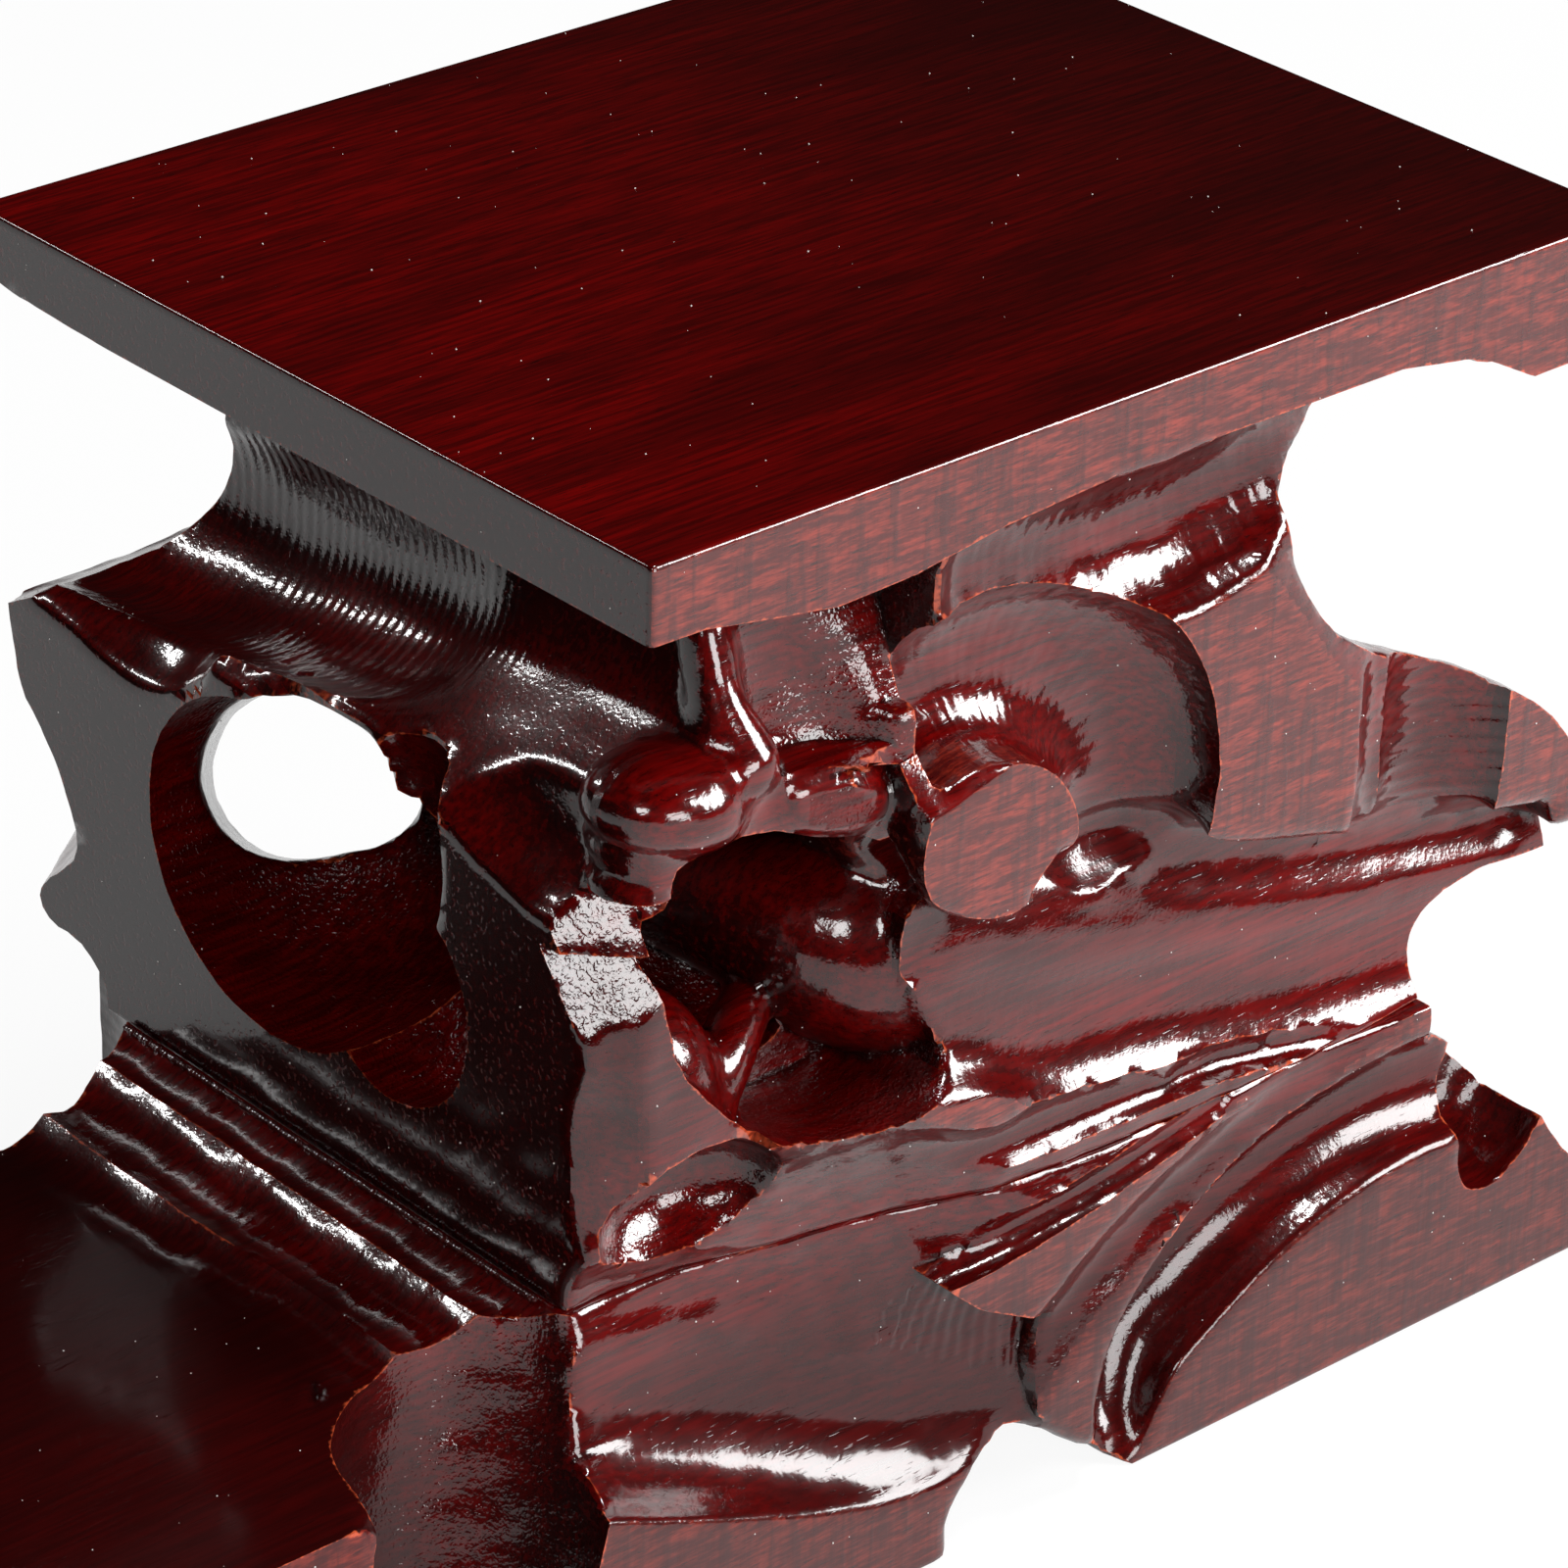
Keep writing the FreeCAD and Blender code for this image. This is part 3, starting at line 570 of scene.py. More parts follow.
def near_column(block):
    """The near corner, worked back to a knobbly column."""
    block.cut(Path((-3.0, 0.6, 62, 6.6), (-3.2, 0.8, 56, 7.2), (-3.0, -0.6, 50, 7.8),
                   (-3.0, -2.6, 44, 8.6)), blend=0.6, chatter=0.0)
    block.cut(Path((-5.0, -3.6, 42, 9.6), (-6.0, -1.8, 36, 10.8), (-6.6, -3.4, 31, 10.8),
                   (-3.6, -4.4, 26, 10.6), (-3, -4, 18, 10.6)), blend=0.6, chatter=0.0)
    block.cut(FRONT_HOLLOW, blend=0.5, chatter=0.0)
    block.cut(FALL_LINE, blend=0.8, chatter=0.1)


def cavity(block):
    """The cavity beside the column, and the long root and the small spur that start in it."""
    rim = [(5.4, 55.6), (4.2, 52.6), (3.8, 49.2), (4.8, 45), (5.6, 41.5), (8.8, 37.4), (11.9, 34.6),
           (17.5, 33.2), (22.5, 33.7), (25.8, 35.4), (24.5, 38.4), (23.0, 41), (23.0, 45),
           (24.8, 46.6), (23.2, 48.9), (22.3, 50.8), (20.2, 52.2), (17.6, 53.4), (15.2, 54.4),
           (9.9, 55.8)]
    block.cut(Prism("y", rim, span=(-6, 10), rounds=1), pitted=0.6, chatter=0.0)
    block.cut(Ball((14.5, 11.5, 45.5), (9.6, 10.0, 10.6)), chatter=0.0, pitted=0.9)
    block.grow(Path((18, 20, 42.6, 3.6), (21.6, 13.6, 42.0, 5.2), (25.6, 10.2, 40.6, 7.0),
                    (31, 9.8, 39.2, 7.3), (38, 9.8, 37.2, 7.3), (48, 9.8, 34.8, 7.2),
                    (60, 9.6, 32.4, 7.0), (90, 9.2, 28.4, 6.6)), blend=0.6, chatter=0.0, wavy=0.03)
    block.grow(Path((18.5, 12, 38.5, 1.6), (14.4, 9, 38.0, 1.8), (10.4, 7.0, 35.6, 2.0)), blend=1.0)


def knobs(block):
    """Knobs left standing: two over the cavity, two small ones under them, and the lobe at the
    column's foot, with the two worn facets on the column."""
    block.grow(Ball((6.6, 6.2, 58.2), (5.6, 4.4, 3.3), (0, 12, 0)), blend=0.6)
    block.grow(Ball((17.4, 5.4, 55.6), (5.4, 3.6, 2.7), (0, 18, 0)), blend=0.8)
    block.grow(Path((11.0, 8.4, 67, 1.6), (10.8, 6.8, 63, 1.7), (11.4, 5.0, 59.6, 2.1)), blend=1.2)
    block.grow(Ball((4.6, 6.8, 56.2), (2.7, 3.2, 2.3)), blend=0.5)
    block.grow(Ball((4.0, 6.4, 53.2), (2.3, 3.0, 1.9)), blend=0.5)
    block.grow(Ball((6.0, 10.4, 35.4), (7.0, 6.8, 8.2), (0, 10, 0)), blend=0.8)
    for at, low, high in (((2.5, 6.9, 51.4), 49.4, 53.4), ((2.7, 4.9, 46.4), 43.0, 49.4)):
        block.cut(Face(at, (-0.60, -0.63, 0.49), (-2, -2, low), (6.5, 11, high)), chatter=0.0,
                  pitted=0.14, wavy=0.02)
    block.cut(Ball((6.8, 2.4, 30.9), (6.6, 5.8, 4.4), (0, -10, 0)), blend=0.4, chatter=0.0,
              pitted=0.2)


def ring_and_stub(block):
    """The groove under the plate's front edge, and the ring gouge about the round stub."""
    block.cut(Path((27, -2.2, 68.4, 5.2), (36, -1.6, 67.0, 5.4), (44, -1.6, 66.8, 5.6),
                   (52, -2.2, 68.6, 5.2), (62, -3.0, 71.4, 5.0)), blend=0.8, chatter=0.25)
    # A deep channel outside and a slope up to the stub.
    ring = ((22.8, -20, 30), (60, 20, 75))
    block.cut(turning_path((28.2, 49.0), 11.9, -0.6, 124, -16, 6.4, 5.8), within=ring, chatter=0.3)
    block.cut(Path((15.0, -2.0, 56.0, 4.6), (18.5, -2.2, 53.0, 4.6), (20.0, -1.6, 48.0, 3.6)),
              blend=0.5, chatter=0.0, pitted=0.7)
    # The pool between the stub and the long root.
    block.cut(Path((36.4, 3.4, 44.9, 0.8), (39.4, 4.4, 45.0, 1.2), (42.4, 4.4, 44.8, 1.2),
                   (44.6, 3.6, 44.4, 0.8)), blend=0.6)
    stub = [(26.8 + 5.4 * math.cos(turn), 51.0 + 5.0 * math.sin(turn) - 0.2 * math.cos(turn))
            for turn in np.radians(np.arange(0, 360, 15))]
    block.grow(Prism("y", stub, span=(0, 12)), blend=1.8, sawn=0.9, wavy=0.03)
    block.cut(Face((25.4, 0.5, 55.6), (-0.16, -0.78, 0.60), (20, -1, 53.5), (30, 3, 58)), blend=0.2,
              chatter=0.0)


def front_facets(block):
    """The bevel beside the big facet, and the flutes between it and the last facet."""
    block.cut(Face((53.4, 0.0, 57.0), (0.30, -1, 0.24), (44, -3, 50), (64, 6, 74)), sawn=0.25,
              chatter=0.0, blend=0.3)
    block.cut(Path((61.6, -4.4, 56, 5.6), (61.8, -4.4, 46, 5.6), (61.0, -4.6, 36, 5.6)),
              chatter=0.4)
    block.cut(Path((66.6, -3.2, 54, 6.2), (66.6, -2.6, 46, 6.2), (66.2, -3.2, 34, 6.2)),
              chatter=1.2)


def roots(block):
    """The long root has a groove over it and a wider one along its foot."""
    block.cut(Path((24, 4.4, 49.8, 2.6), (31, 3.4, 47.0, 2.4), (36, 2.8, 46.0, 2.5),
                   (42, 2.6, 44.6, 2.4), (47, 2.6, 42.2, 2.1), (55, 2.4, 39.8, 2.0),
                   (63, 2.2, 37.6, 1.9), (76, 2.0, 35.0, 1.8)), blend=2.2, chatter=0.0, wavy=0.02)
    block.cut(Path(*[(x, -4.3, z + 1.2, 7.2) for x, z in LONG_ROOT_FOOT]), blend=0.7, chatter=0.08,
              wavy=0.02)
    # The second root lies in front of it, with two shallow grooves and a lump between them.
    block.cut(Path((13, -2.0, 31.8, 3.6), (20, -1.7, 30.2, 3.3), (26, -1.3, 29.0, 2.9),
                   (31, -1.1, 28.6, 2.6), (36, -0.8, 28.5, 2.2), (41, -0.4, 28.2, 1.6),
                   (46, -0.4, 27.8, 1.1)), blend=0.4, chatter=0.05, wavy=0.02)
    block.grow(Ball((27.6, 2.2, 31.8), (4.4, 2.3, 1.9), (0, 20, 0)), blend=1.0)
    block.cut(Path((42, -0.2, 27.9, 1.0), (48, 0.7, 27.5, 1.1), (55, 0.4, 26.4, 1.0),
                   (60, -0.2, 25.7, 0.9)), blend=0.3)
    block.cut(SEAM_GROOVE, blend=0.6, chatter=0.0)
    # The notch is sawn out under the roots' right ends.
    block.cut(Prism("y", [(90, 31.2), (79.4, 31.2), (73.7, 31.8), (70.1, 31.2), (67.6, 29.4),
                          (66.8, 27.1), (67, 20), (90, 20)], rounds=2))


def plate(block):
    """The plate itself stays full size over all of this."""
    under = TOP - PLATE_THICKNESS
    block.grow(Prism("y", [(-2, under), (4, under - 0.1), (9, under - 1.0), (14, under - 1.8),
                           (20, under - 1.6), (27, under - 0.6), (38, under + 0.1), (60, under),
                           (67, under - 1.2), (72, 68.6), (LENGTH + 2, 68.6), (LENGTH + 2, TOP + 2),
                           (-2, TOP + 2)], span=(-2, DEPTH + 2)), sawn=1.0, wavy=0.0)
    block.cut(Path((-8, 30, 62.0, 11.6), (-8, 50, 63.4, 11.8), (-8, 72, 64.4, 12.2)), blend=0.3)


def carve_upper_block():
    block = Block((0, 0, JOINT), (LENGTH, DEPTH, TOP))
    for work in (throat, cove_and_end_face, hollow_behind_end_face, recess_and_set_back,
                 near_column, cavity, knobs, ring_and_stub, front_facets, roots, plate):
        work(block)
    return carve("carved_upper_block", block, (
        sample_lines(0, LENGTH, FINE),
        sample_lines(0, DEPTH, FINE, wider=((*MIDDLE_DEPTH, 0.9),)),
        sample_lines(JOINT, TOP, FINE)))


# ---------------------------------------------------------------- the base block

# The right end falls to a low toe.
RIGHT_FALL = Prism("y", [(66.5, 40), (66.9, 24.5), (67.6, 22), (71.2, 19.9), (74.2, 17.6),
                         (77.5, 14.2), (79.7, 11), (82.3, 7.6), (86.5, 3.6), (88.5, 1.2), (96, 1.0),
                         (96, 40)], rounds=2)


def platform_and_flutes(block):
    """The low platform's face, the open back corner, and the flutes between platform and joint."""
    block.cut(Face((0, 0, LOW_TOP), (0, 0, 1), (LEFT_END - 3, -3, LOW_TOP),
                   (-12.5, DEPTH + 3, JOINT + 3)), wavy=0.0, chatter=0.0, pitted=0.0)
    block.cut(Path((-12, 67, -30, 19.5), (-12, 67, 60, 19.5)), chatter=0.3)
    block.cut(Path((-4, 67, 29, 8.5), (20, 68.5, 28.6, 9.5), (44, 69, 29, 8.5)), chatter=0.3)
    block.cut(Path((-12.4, -5, 27.2, 4.8), (-12.0, 10, 27.2, 4.8), (-11.0, 22, 27.3, 4.8),
                   (-12.6, 36, 27.2, 4.8), (-11.4, 70, 27.2, 4.8)), chatter=0.1)
    block.cut(Path((-7.0, -5, 28.0, 4.9), (-7.2, 30, 28.0, 5.0), (-7, 70, 28.0, 4.8)), chatter=0.15)
    block.cut(Path((-2.4, -5, 28.0, 3.8), (-2.2, 30, 28.1, 3.8), (-2.4, 70, 28.2, 3.8)),
              chatter=0.1)
    block.cut(Path((-15.6, 11.4, 22.9, 0.5), (-14.2, 13.2, 22.9, 0.7)), wavy=0.0)
    block.cut(Path((-16.4, 14.2, 22.9, 0.4), (-14.6, 15.0, 22.9, 0.6)), wavy=0.0)
    # The upright end-grain gouge at the near corner of the joint.
    block.cut(Path((-7.0, 4.0, 32, 8.2), (-8.0, 3.4, 25, 8.8), (-11.5, 2.0, 16, 9.4),
                   (-15, 0, 6, 10), (-17, -2, -4, 10)), chatter=0.1, pitted=0.3)


def front_root(block):
    """The front root under the column: set back, with a long concave fall to the left foot."""
    block.cut(FRONT_HOLLOW, blend=0.6, chatter=0.0, within=((LEFT_END - 5, -5, 16.5), (60, 20, 60)))
    block.cut(FALL_LINE, blend=0.8, chatter=0.1)
    block.cut(Path((-16, -2, 28.5, 8), (-9, -2, 26, 8), (-3, -2, 23.5, 8), (3, -2, 21, 8),
                   (7.7, -2.1, 19, 8), (12.4, -2.4, 16.8, 7.8), (17.7, -3.0, 14.1, 7.4),
                   (23, -3.9, 12.0, 7.2), (29, -5.2, 11, 7.2), (35, -6.6, 10, 7.2)), blend=0.6,
              chatter=0.05, pitted=0.0, wavy=0.03)
    block.cut(Path((16, -3.0, 20.6, 6.6), (21, -3.2, 18.6, 6.8), (26, -3.8, 16.2, 7.0),
                   (33, -4.6, 14, 7)), blend=1.0, chatter=1.2, pitted=0.0)


def right_foot(block):
    """The flat three-cornered facet and the right foot stand full to the front again."""
    block.grow(Prism("y", [(24.7, 20.2), (30, 21.2), (38, 22.4), (44.8, 24.4), (50, JOINT),
                           (90, JOINT), (90, 0), (40.8, 0), (37, 3.2), (33, 7.4), (32.6, 10.6),
                           (33.9, 14.2), (27.6, 17.6)], span=(0, 12)), wavy=0.0, sawn=1.0)
    block.cut(RIGHT_FALL)
    # Slivers between the joint and the facet.
    block.cut(SEAM_GROOVE, blend=0.4, chatter=0.0)
    block.cut(Path((16, 3.4, 21.4, 1.2), (23, 1.6, 20.9, 1.5), (30, 0.4, 21.6, 1.4),
                   (38, -0.4, 22.8, 1.4), (48, -0.8, 25.0, 1.4)), chatter=0.1)


def diagonal_root(block):
    """A shallow flute on the root's left, and the deep gouge over the foot's facet."""
    block.cut(Path((30.6, -2.2, 9.4, 3.0), (34.8, -2.0, 13.4, 3.0), (40.6, -1.9, 17.6, 2.8),
                   (47.5, -1.9, 20.6, 2.8), (56, -2.2, 23.4, 2.8), (64, -2.6, 25.6, 2.8)),
              blend=1.0, chatter=0.1)
    block.cut(Path((40.9, -0.4, 2.6, 2.0), (41.4, 0.6, 5.6, 3.0), (43.2, 1.0, 9.2, 3.8),
                   (47, 0.2, 12.4, 4.4), (52, -0.4, 15.2, 4.6), (58, -0.6, 17.2, 4.6),
                   (66, -0.6, 18.2, 4.4), (78, -1, 17.2, 4.2)), blend=0.9, chatter=0.05, wavy=0.02)
    block.cut(Ball((75.6, 2.0, 14.6), (4.2, 5.6, 6.8), (0, 28, 0)), blend=0.3)


def arches(block):
    """The arches between the feet."""
    block.cut(Prism("y", [(26.6, -5), (25.8, 1.4), (26.4, 3.6), (28.2, 5.4), (30.2, 6.5),
                          (31.4, 6.9), (33.2, 6.2), (36.9, 3.4), (40.8, 0.6), (42, -5)], rounds=1),
              blend=1.6)
    block.cut(Prism("y", [(-55, -5), (-54, 3), (-46, 11), (-32, 14), (-22, 12.5), (-12, 4),
                          (-9, -5)], rounds=2))
    block.cut(Prism("x", [(18, -5), (19, 2), (26, 7.4), (32.5, 8.4), (39, 7.4), (46, 2), (47, -5)],
                    rounds=2))


def carve_base_block():
    block = Block((LEFT_END, 0, 0), (RIGHT_END, DEPTH, JOINT))
    platform_and_flutes(block)
    block.cut(RIGHT_FALL)
    front_root(block)
    right_foot(block)
    diagonal_root(block)
    arches(block)
    return carve("carved_base_block", block, (
        sample_lines(LEFT_END, RIGHT_END, LESS_FINE, wider=((LEFT_END + 2, -20, 1.2),)),
        sample_lines(0, DEPTH, LESS_FINE, wider=((*MIDDLE_DEPTH, 1.0),)),
        sample_lines(0, JOINT, FINE)))


# ---------------------------------------------------------------- finishes

# Stains, lacquers, painted shade and a painted highlight, in plain linear red, green and blue.
WINE, CHERRY = (0.042, 0.0003, 0.0003), (0.125, 0.0005, 0.0004)
DEEP_WINE = (0.020, 0.0004, 0.0004)
FAR_END_SHADE = (0.011, 0.0016, 0.0014)
PLATFORM_SHADE = (0.010, 0.0010, 0.0010)
LOW_DOWN_SHADE = (0.016, 0.0014, 0.0014)
SAWN_BROWN, SAWN_RED = (0.060, 0.0030, 0.0026), (0.24, 0.021, 0.010)
SAW_TRACK = (0.036, 0.0028, 0.0030)
WORN_CREST_AND_HIGHLIGHT = (0.50, 0.075, 0.026)
CREASE_POOL_AND_SHADE = (0.008, 0.0008, 0.0008)
PORE = (0.010, 0.0008, 0.0008)
END_GRAIN = (0.006, 0.0006, 0.0006)


class Amount:
    """A number that changes over a surface. Sums and products with it add Math nodes."""

    def __init__(self, look, socket):
        self.look, self.socket = look, socket

    def join(self, operation, first, second):
        return self.look.add("ShaderNodeMath", {"operation": operation}, first, second)

    def __add__(self, other):
        return self.join("ADD", self, other)

    def __sub__(self, other):
        return self.join("SUBTRACT", self, other)

    def __rsub__(self, other):
        return self.join("SUBTRACT", other, self)

    def __mul__(self, other):
        return self.join("MULTIPLY", self, other)

    def __neg__(self):
        return self * -1.0

    __radd__, __rmul__ = __add__, __mul__

    def ramp(self, low, high):
        """Rises smoothly from 0 at low to 1 at high."""
        settings = {"interpolation_type": "SMOOTHSTEP"}
        return self.look.add("ShaderNodeMapRange", settings, self, low, high)


def new_node(tree, kind, settings, values, named):
    """Adds a node: its settings first, then values or links for its sockets, in order or by
    name. A socket whose value is None is left alone."""
    node = tree.nodes.new(kind)
    for name, value in (settings or {}).items():
        setattr(node, name, value)
    sockets = dict(enumerate(values))
    sockets.update((name.replace("_", " "), value) for name, value in named.items())
    for key, value in sockets.items():
        value = getattr(value, "socket", value)
        if isinstance(value, bpy.types.NodeSocket):
            tree.links.new(value, node.inputs[key])
        elif value is not None:
            node.inputs[key].default_value = value
    return node


class Look:
    """One material and its nodes."""

    def __init__(self, name):
        self.material = bpy.data.materials.new(name)
        self.material.use_nodes = True
        self.tree = self.material.node_tree
        self.tree.nodes.clear()

    def add(self, kind, settings=None, *values, out=0, **named):
        node = new_node(self.tree, kind, settings, values, named)
        return Amount(self, node.outputs[out]) if node.outputs else None

    def split(self, vector):
        """The three numbers of a vector."""
        first = self.add("ShaderNodeSeparateXYZ", None, vector)
        return [Amount(self, socket) for socket in first.socket.node.outputs]

    def stretch(self, where, scale):
        return self.add("ShaderNodeVectorMath", {"operation": "MULTIPLY"}, where, scale)

    def place(self):
        """Where each point lies in the frame, in millimetres."""
        return self.stretch(self.add("ShaderNodeTexCoord", out="Object"), (1 / MM,) * 3)

    def mark(self, name, out="Fac"):
        """What the carving has noted on the mesh under a name."""
        return self.add("ShaderNodeAttribute", {"attribute_name": name}, out=out)

    def noise(self, where, size, detail=2.0, roughness=0.5):
        """Soft noise. size is how many lumps fit in a millimetre, all round or along x, y and z."""
        if isinstance(size, tuple):
            where, size = self.stretch(where, size), 1.0
        return self.add("ShaderNodeTexNoise", None, Vector=where, Scale=size, Detail=detail,
                        Roughness=roughness)

    def mix(self, share, first, second):
        """A colour between two, each of which is a plain one or another mix."""
        first, second = (colour if isinstance(colour, Amount) else (*colour, 1.0)
                         for colour in (first, second))
        others = [None] * 5  # the sockets that mixes of numbers and of vectors use
        return self.add("ShaderNodeMix", {"data_type": "RGBA"}, share, *others, first, second,
                        out=2)

    def bump(self, height):
        """The surface as it is raised by a height in millimetres."""
        return self.add("ShaderNodeBump", None, Strength=1.0, Distance=MM, Height=height)

    def finish(self, shader):
        self.add("ShaderNodeOutputMaterial", None, Surface=shader)
        return self.material


def lacquered_wood():
    """Red-stained hardwood under thick gloss lacquer: grain along x, pores, tool marks, worn crests
    that also carry a painted highlight, and painted shade in creases, low down and on the plate."""
    look = Look("lacquered_wood")
    mm = look.place()
    along, _, above = look.split(mm)
    sawn, chatter, pitted = look.split(look.mark("finish", out="Vector"))
    edge, endgrain = look.mark("edge"), look.mark("endgrain")
    stroke = look.stretch(look.add("ShaderNodeUVMap", {"uv_map": "stroke"}),
                          (STROKE_SCALE, STROKE_SCALE, 0))
    # Painted shade: the low platform, in the upper block's shadow, is darkened and gets a thinner
    # coat.
    shaded_platform = (-along).ramp(14.0, 22.0)
    # Painted shade: the lowest parts, over the shaded table close to the stand, are darkened and
    # get a thinner coat.
    low_shade = (-above).ramp(-27.0, -13.0)

    grain = look.noise(mm, (0.12, 2.4, 2.4), 4.0, 0.62)
    broad = look.noise(mm, (0.02, 0.09, 0.09))
    pores = look.noise(mm, (0.6, 5.5, 5.5), 1.0)
    speck = look.noise(mm, 2.6, 1.0)
    sawmark = look.noise(mm, (1.1, 0.05, 0.12), 3.0)
    streak = look.noise(mm, (0.45, 3.4, 3.4), 4.0, 0.7)

    # Each stain, painted shade or painted highlight goes over the ones before it, by its share.
    bare = look.mix(streak.ramp(0.40, 0.74), SAWN_BROWN, SAWN_RED)
    bare = look.mix(sawmark.ramp(0.50, 0.66) * 0.55, bare, SAW_TRACK)
    tone = look.mix(grain.ramp(0.34, 0.70), WINE, CHERRY)
    for share, stain in (
            (broad.ramp(0.42, 0.66) * 0.55, DEEP_WINE),
            # Painted shade: the plate's top grows darker towards its far right end.
            (along.ramp(-6.0, 84.0) * above.ramp(76.6, 77.3) * 0.85, FAR_END_SHADE),
            # Painted shade on the low platform.
            (shaded_platform * 0.8, PLATFORM_SHADE),
            (sawn, bare),
            # Painted shade low down on the base.
            (low_shade * 0.42, LOW_DOWN_SHADE),
            # Worn crests, lighter, which also stand in as a painted highlight along the edges.
            ((edge + (speck - 0.5) * 0.7).ramp(0.80, 1.10) * 0.8, WORN_CREST_AND_HIGHLIGHT),
            # Creases darken: lacquer pooled there, and painted shade in the creases.
            ((-edge + (speck - 0.5) * 0.4).ramp(0.15, 0.90) * 0.8, CREASE_POOL_AND_SHADE),
            (pores.ramp(0.66, 0.74) * 0.6, PORE),
            (endgrain.ramp(0.66, 0.94) * (0.95 - speck.ramp(0.46, 0.72) * 0.40), END_GRAIN)):
        tone = look.mix(share, tone, stain)

    # Chatter and scratches follow the stroke; the lacquer's own skin, its pits, the pores and
    # the saw's tracks lie anywhere. All of them are heights in millimetres.
    wave = look.add("ShaderNodeTexWave", {"wave_type": "BANDS", "bands_direction": "X"},
                    Vector=stroke, Scale=0.30, Distortion=2.8, Detail=1.0, Detail_Scale=0.4)
    scratch = look.noise(stroke, (0.35, 4.5, 0))
    peel = look.noise(mm, 1.7, 2.0, 0.6)
    pit = look.noise(mm, 3.4, 1.0)
    height = (wave * (chatter * 0.045) + scratch * (chatter * 0.002 + 0.0003)
              + peel * (pitted * 0.085 + 0.0032) + pit.ramp(0.45, 0.75) * (pitted * 0.04)
              - pores.ramp(0.62, 0.74) * (1.0 - endgrain) * 0.004
              - speck.ramp(0.58, 0.72) * (endgrain * 0.006)
              + sawmark * (sawn * 0.05) + streak * (sawn * 0.014))
    relief = look.bump(height)
    # The painted shade of the low platform and of the lowest parts also thins the coat there.
    coat = (0.78 + sawn * 0.08 - endgrain * 0.14 - pitted.ramp(0.45, 0.95) * 0.55
            - shaded_platform * 0.45 - low_shade * (1.0 - shaded_platform) * 0.24)
    return look.finish(look.add(
        "ShaderNodeBsdfPrincipled", None, Base_Color=tone, Roughness=0.28 + sawn * 0.12,
        Specular_IOR_Level=0.05, Normal=relief, Coat_Weight=coat, Coat_Roughness=0.10,
        Coat_IOR=1.76, Coat_Normal=relief))


def pale_dust():
    look = Look("pale_dust")
    tone = look.mix(look.noise(look.place(), 0.8), (0.55, 0.50, 0.48), (0.80, 0.78, 0.75))
    return look.finish(look.add("ShaderNodeBsdfPrincipled", None, Base_Color=tone, Roughness=0.8))


def lumpy_glue():
    """Dried glue under the lacquer: dark, glossy and slightly uneven."""
    look = Look("lumpy_glue")
    place = look.place()
    tone = look.mix(look.noise(place, 0.9), (0.010, 0.0012, 0.0010), (0.060, 0.0050, 0.0040))
    relief = look.bump(look.noise(place, 2.0) * 0.05)
    return look.finish(look.add("ShaderNodeBsdfPrincipled", None, Base_Color=tone, Roughness=0.18,
                                Normal=relief))


def birch_wood():
    """Bare turned birch, for the dowels."""
    look = Look("birch_wood")
    grain = look.noise(look.place(), (3.0, 3.0, 0.2), 3.0)
    tone = look.mix(grain.ramp(0.3, 0.7), (0.50, 0.33, 0.18), (0.66, 0.48, 0.30))
    relief = look.bump(grain * 0.02)
    return look.finish(look.add("ShaderNodeBsdfPrincipled", None, Base_Color=tone, Roughness=0.6,
                                Normal=relief))


# ---------------------------------------------------------------- scattered and strung things

DUST_SEED, GLUE_SEED = 11, 5
DUST_DENSITY = 26000.0  # grains on a square metre
DUST_RADIUS = 0.00007
LUMPS = 150
LUMP_RADIUS = 0.00026
LUMP_RISE = 0.00012     # of the lumps' middles over the foot of the bead


class Tree:
    """A tree of nodes with named inputs; made() gives the finished object."""

    def __init__(self, name, **inputs):
        self.tree = bpy.data.node_groups.new(name, "GeometryNodeTree")
        self.name = name
        face = self.tree.interface
        face.new_socket("Geometry", in_out="INPUT", socket_type="NodeSocketGeometry")
        kinds = {float: "NodeSocketFloat", int: "NodeSocketInt", tuple: "NodeSocketVector"}
        self.values = {}
        for label, value in inputs.items():
            kind = kinds.get(type(value), "NodeSocketMaterial")
            socket = face.new_socket(label, in_out="INPUT", socket_type=kind)
            self.values[socket.identifier] = value
        face.new_socket("Geometry", in_out="OUTPUT", socket_type="NodeSocketGeometry")
        self.given = self.tree.nodes.new("NodeGroupInput").outputs

    def add(self, kind, settings=None, *values, out=0, **named):
        node = new_node(self.tree, kind, settings, values, named)
        return node.outputs[out] if node.outputs else None

    def lumps(self, points, subdivisions, smallest, largest):
        """A small ball on each point, from smallest to largest times the Size input."""
        given = self.given
        ball = self.add("GeometryNodeMeshIcoSphere", Radius=1.0, Subdivisions=subdivisions)
        amount = self.add("FunctionNodeRandomValue", {"data_type": "FLOAT"}, None, None,
                          smallest, largest, Seed=given["Seed"], out=1)
        size = self.add("ShaderNodeMath", {"operation": "MULTIPLY"}, amount, given["Size"])
        return self.add("GeometryNodeInstanceOnPoints", Points=points, Instance=ball, Scale=size)

    def made(self, geometry, source):
        solid = self.add("GeometryNodeRealizeInstances", Geometry=geometry)
        painted = self.add("GeometryNodeSetMaterial", Geometry=solid,
                           Material=self.given["Material"])
        self.add("NodeGroupOutput", Geometry=painted)
        modifier = source.modifiers.new(self.name, "NODES")
        modifier.node_group = self.tree
        for identifier, value in self.values.items():
            modifier[identifier] = value
        bpy.context.view_layer.update()
        view = bpy.context.evaluated_depsgraph_get()
        mesh = bpy.data.meshes.new_from_object(source.evaluated_get(view), depsgraph=view)
        source.modifiers.remove(modifier)
        return add_to_scene(self.name, mesh)


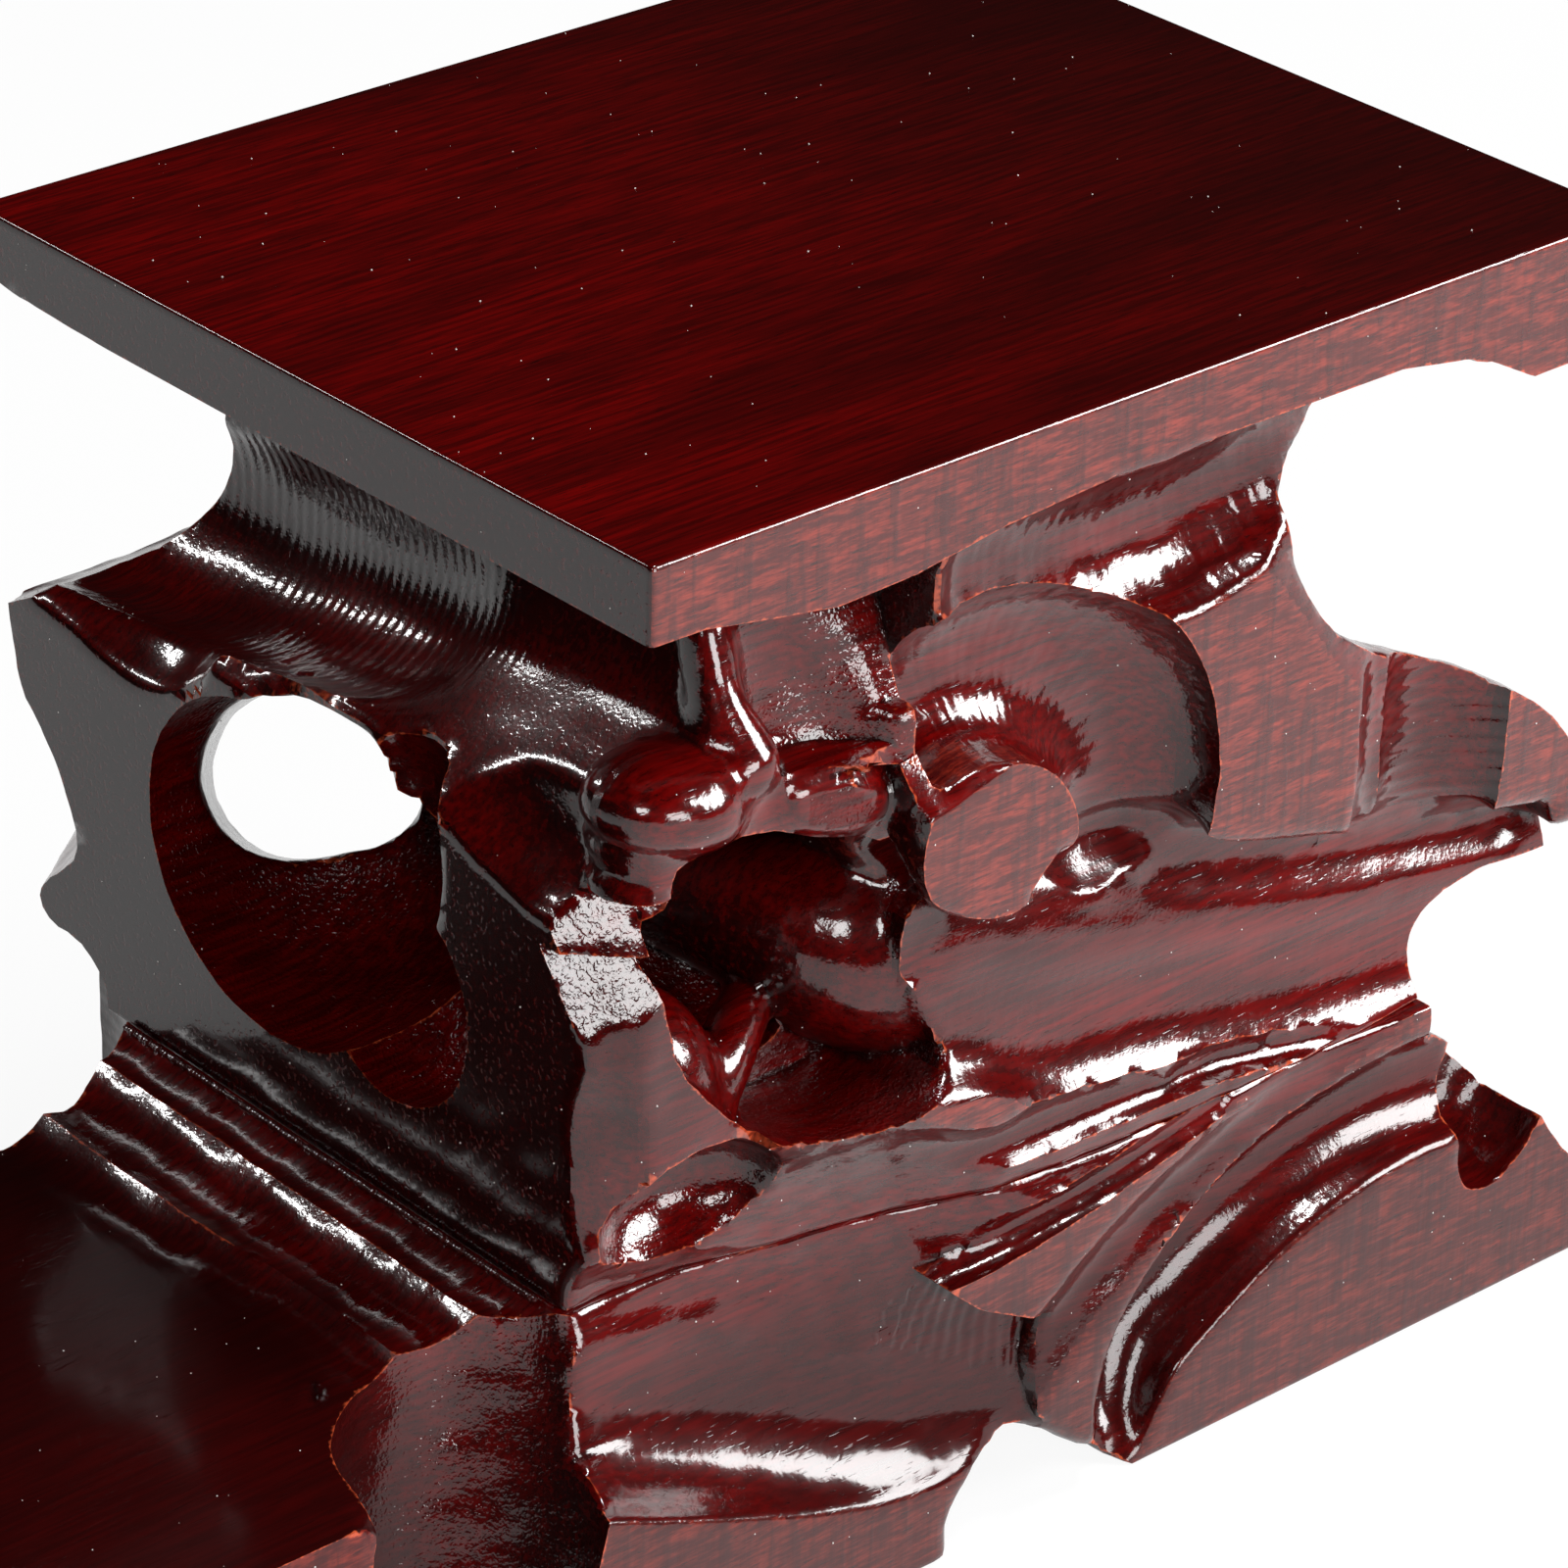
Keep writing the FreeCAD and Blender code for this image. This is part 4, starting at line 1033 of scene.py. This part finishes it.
def specks(surface, material):
    """Dust caught in the lacquer all over a piece."""
    tree = Tree(surface.name + "_dust", Density=DUST_DENSITY, Size=DUST_RADIUS, Seed=DUST_SEED,
                Material=material)
    given = tree.given
    points = tree.add("GeometryNodeDistributePointsOnFaces", Mesh=given["Geometry"],
                      Density=given["Density"], Seed=given["Seed"])
    return tree.made(tree.lumps(points, 1, 0.35, 1.0), surface)


def glue_line(material):
    """Squeezed-out glue along the joint: small lumps strung in a line."""
    low, high = (np.array(corner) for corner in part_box("glue_bead"))
    holder = add_to_scene("bead_start", bpy.data.meshes.new("bead_start"))
    tree = Tree("lumpy_bead", Start=((low[0] + high[0]) / 2, low[1], low[2] + LUMP_RISE),
                Step=(0.0, (high[1] - low[1]) / (LUMPS - 1), 0.0), Count=LUMPS,
                Size=LUMP_RADIUS, Seed=GLUE_SEED, Material=material)
    given = tree.given
    line = tree.add("GeometryNodeMeshLine", Count=given["Count"], Start_Location=given["Start"],
                    Offset=given["Step"])
    made = tree.made(tree.lumps(line, 2, 0.6, 1.25), holder)
    bpy.data.objects.remove(holder)
    return made


# ---------------------------------------------------------------- floor, light and camera

FLOOR_HALF = 3.0
ROOM_LIGHT = 0.006
STAND_MIDDLE = (0.02, 0.0, 0.045)


def white_floor():
    """A white table that keeps the stand's shadow. Gloss mirrors it with painted shade near the
    stand and brighter out in front.
    """
    near, far = -FLOOR_HALF, FLOOR_HALF
    mesh = bpy.data.meshes.new("floor")
    mesh.from_pydata([(near, near, 0), (far, near, 0), (far, far, 0), (near, far, 0)], [],
                     [(0, 1, 2, 3)])
    floor = add_to_scene("floor", mesh)
    look = Look("white_table")
    paper = look.add("ShaderNodeBsdfDiffuse", None, (0.9, 0.9, 0.9, 1))
    white = look.add("ShaderNodeEmission", None, (1, 1, 1, 1), 1.0)
    seen = look.add("ShaderNodeLightPath", out="Is Camera Ray")
    mirrored = look.add("ShaderNodeLightPath", out="Is Glossy Ray")
    _, back, _ = look.split(look.add("ShaderNodeTexCoord", out="Object"))
    # Painted shade: what gloss mirrors of the table grows darker towards the stand's front.
    share = seen * 0.92 + mirrored * ((-back).ramp(0.03, 0.15) * 0.36 + 0.50)
    mesh.materials.append(look.finish(look.add("ShaderNodeMixShader", None, share, paper, white)))


def dim_room():
    world = bpy.data.worlds.new("room")
    world.use_nodes = True
    bpy.context.scene.world = world
    back = world.node_tree.nodes["Background"]
    back.inputs["Color"].default_value = (1, 1, 1, 1)
    back.inputs["Strength"].default_value = ROOM_LIGHT


def lamp(name, toward, distance, size, power, along=None):
    """A softbox that faces the stand. along is the way its long side runs, where that matters."""
    light = bpy.data.lights.new(name, "AREA")
    light.shape = "RECTANGLE"
    light.size, light.size_y = size
    light.energy = power
    softbox = add_to_scene(name, light)
    direction = Vector(toward).normalized()
    softbox.location = Vector(STAND_MIDDLE) + direction * distance
    softbox.rotation_euler = direction.to_track_quat("Z", "Y").to_euler()
    if along:
        side = Vector(along).cross(direction).normalized()
        turn = Matrix((side.cross(direction), side, direction)).transposed()
        softbox.rotation_euler = turn.to_euler()


def set_camera():
    lens = bpy.data.cameras.new("camera")
    lens.lens = 149.36
    lens.sensor_width = 36.0
    lens.clip_start = 0.01
    camera = add_to_scene("camera", lens)
    camera.location = (-0.216787, -0.278088, 0.236728)
    camera.rotation_euler = [math.radians(angle) for angle in (61.826, -1.208, -41.070)]
    bpy.context.scene.camera = camera


# ---------------------------------------------------------------- put together

wood, dust = lacquered_wood(), pale_dust()
for piece, node in ((carve_upper_block(), "upper_block"), (carve_base_block(), "base_block")):
    piece.data.materials.append(wood)
    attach(piece, "root")
    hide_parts(node)
    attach(specks(piece, dust), "root")
bead = glue_line(lumpy_glue())
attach(bead, "root")
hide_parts("glue_bead")
birch = birch_wood()
for node in ("front_dowel", "back_dowel"):
    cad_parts[node].data.materials.clear()
    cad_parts[node].data.materials.append(birch)

white_floor()
dim_room()
lamp("front_right", toward=(0.66, -0.62, 0.42), distance=0.55, size=(0.28, 0.20), power=3.4)
lamp("in_front", toward=(0.02, -0.97, 0.22), distance=0.60, size=(0.24, 0.20), power=1.6)
lamp("overhead", toward=(0.25, -0.20, 1.0), distance=0.60, size=(0.10, 0.08), power=1.6)
lamp("left_back", toward=(-0.35, 0.785, 0.51), distance=1.2, size=(0.54, 0.055), power=3.6,
     along=(0.21, 0.22, -0.20))
lamp("by_the_camera", toward=(-0.59, -0.62, 0.53), distance=0.80, size=(0.20, 0.20), power=1.6)
set_camera()
bpy.context.scene.view_settings.view_transform = "Standard"
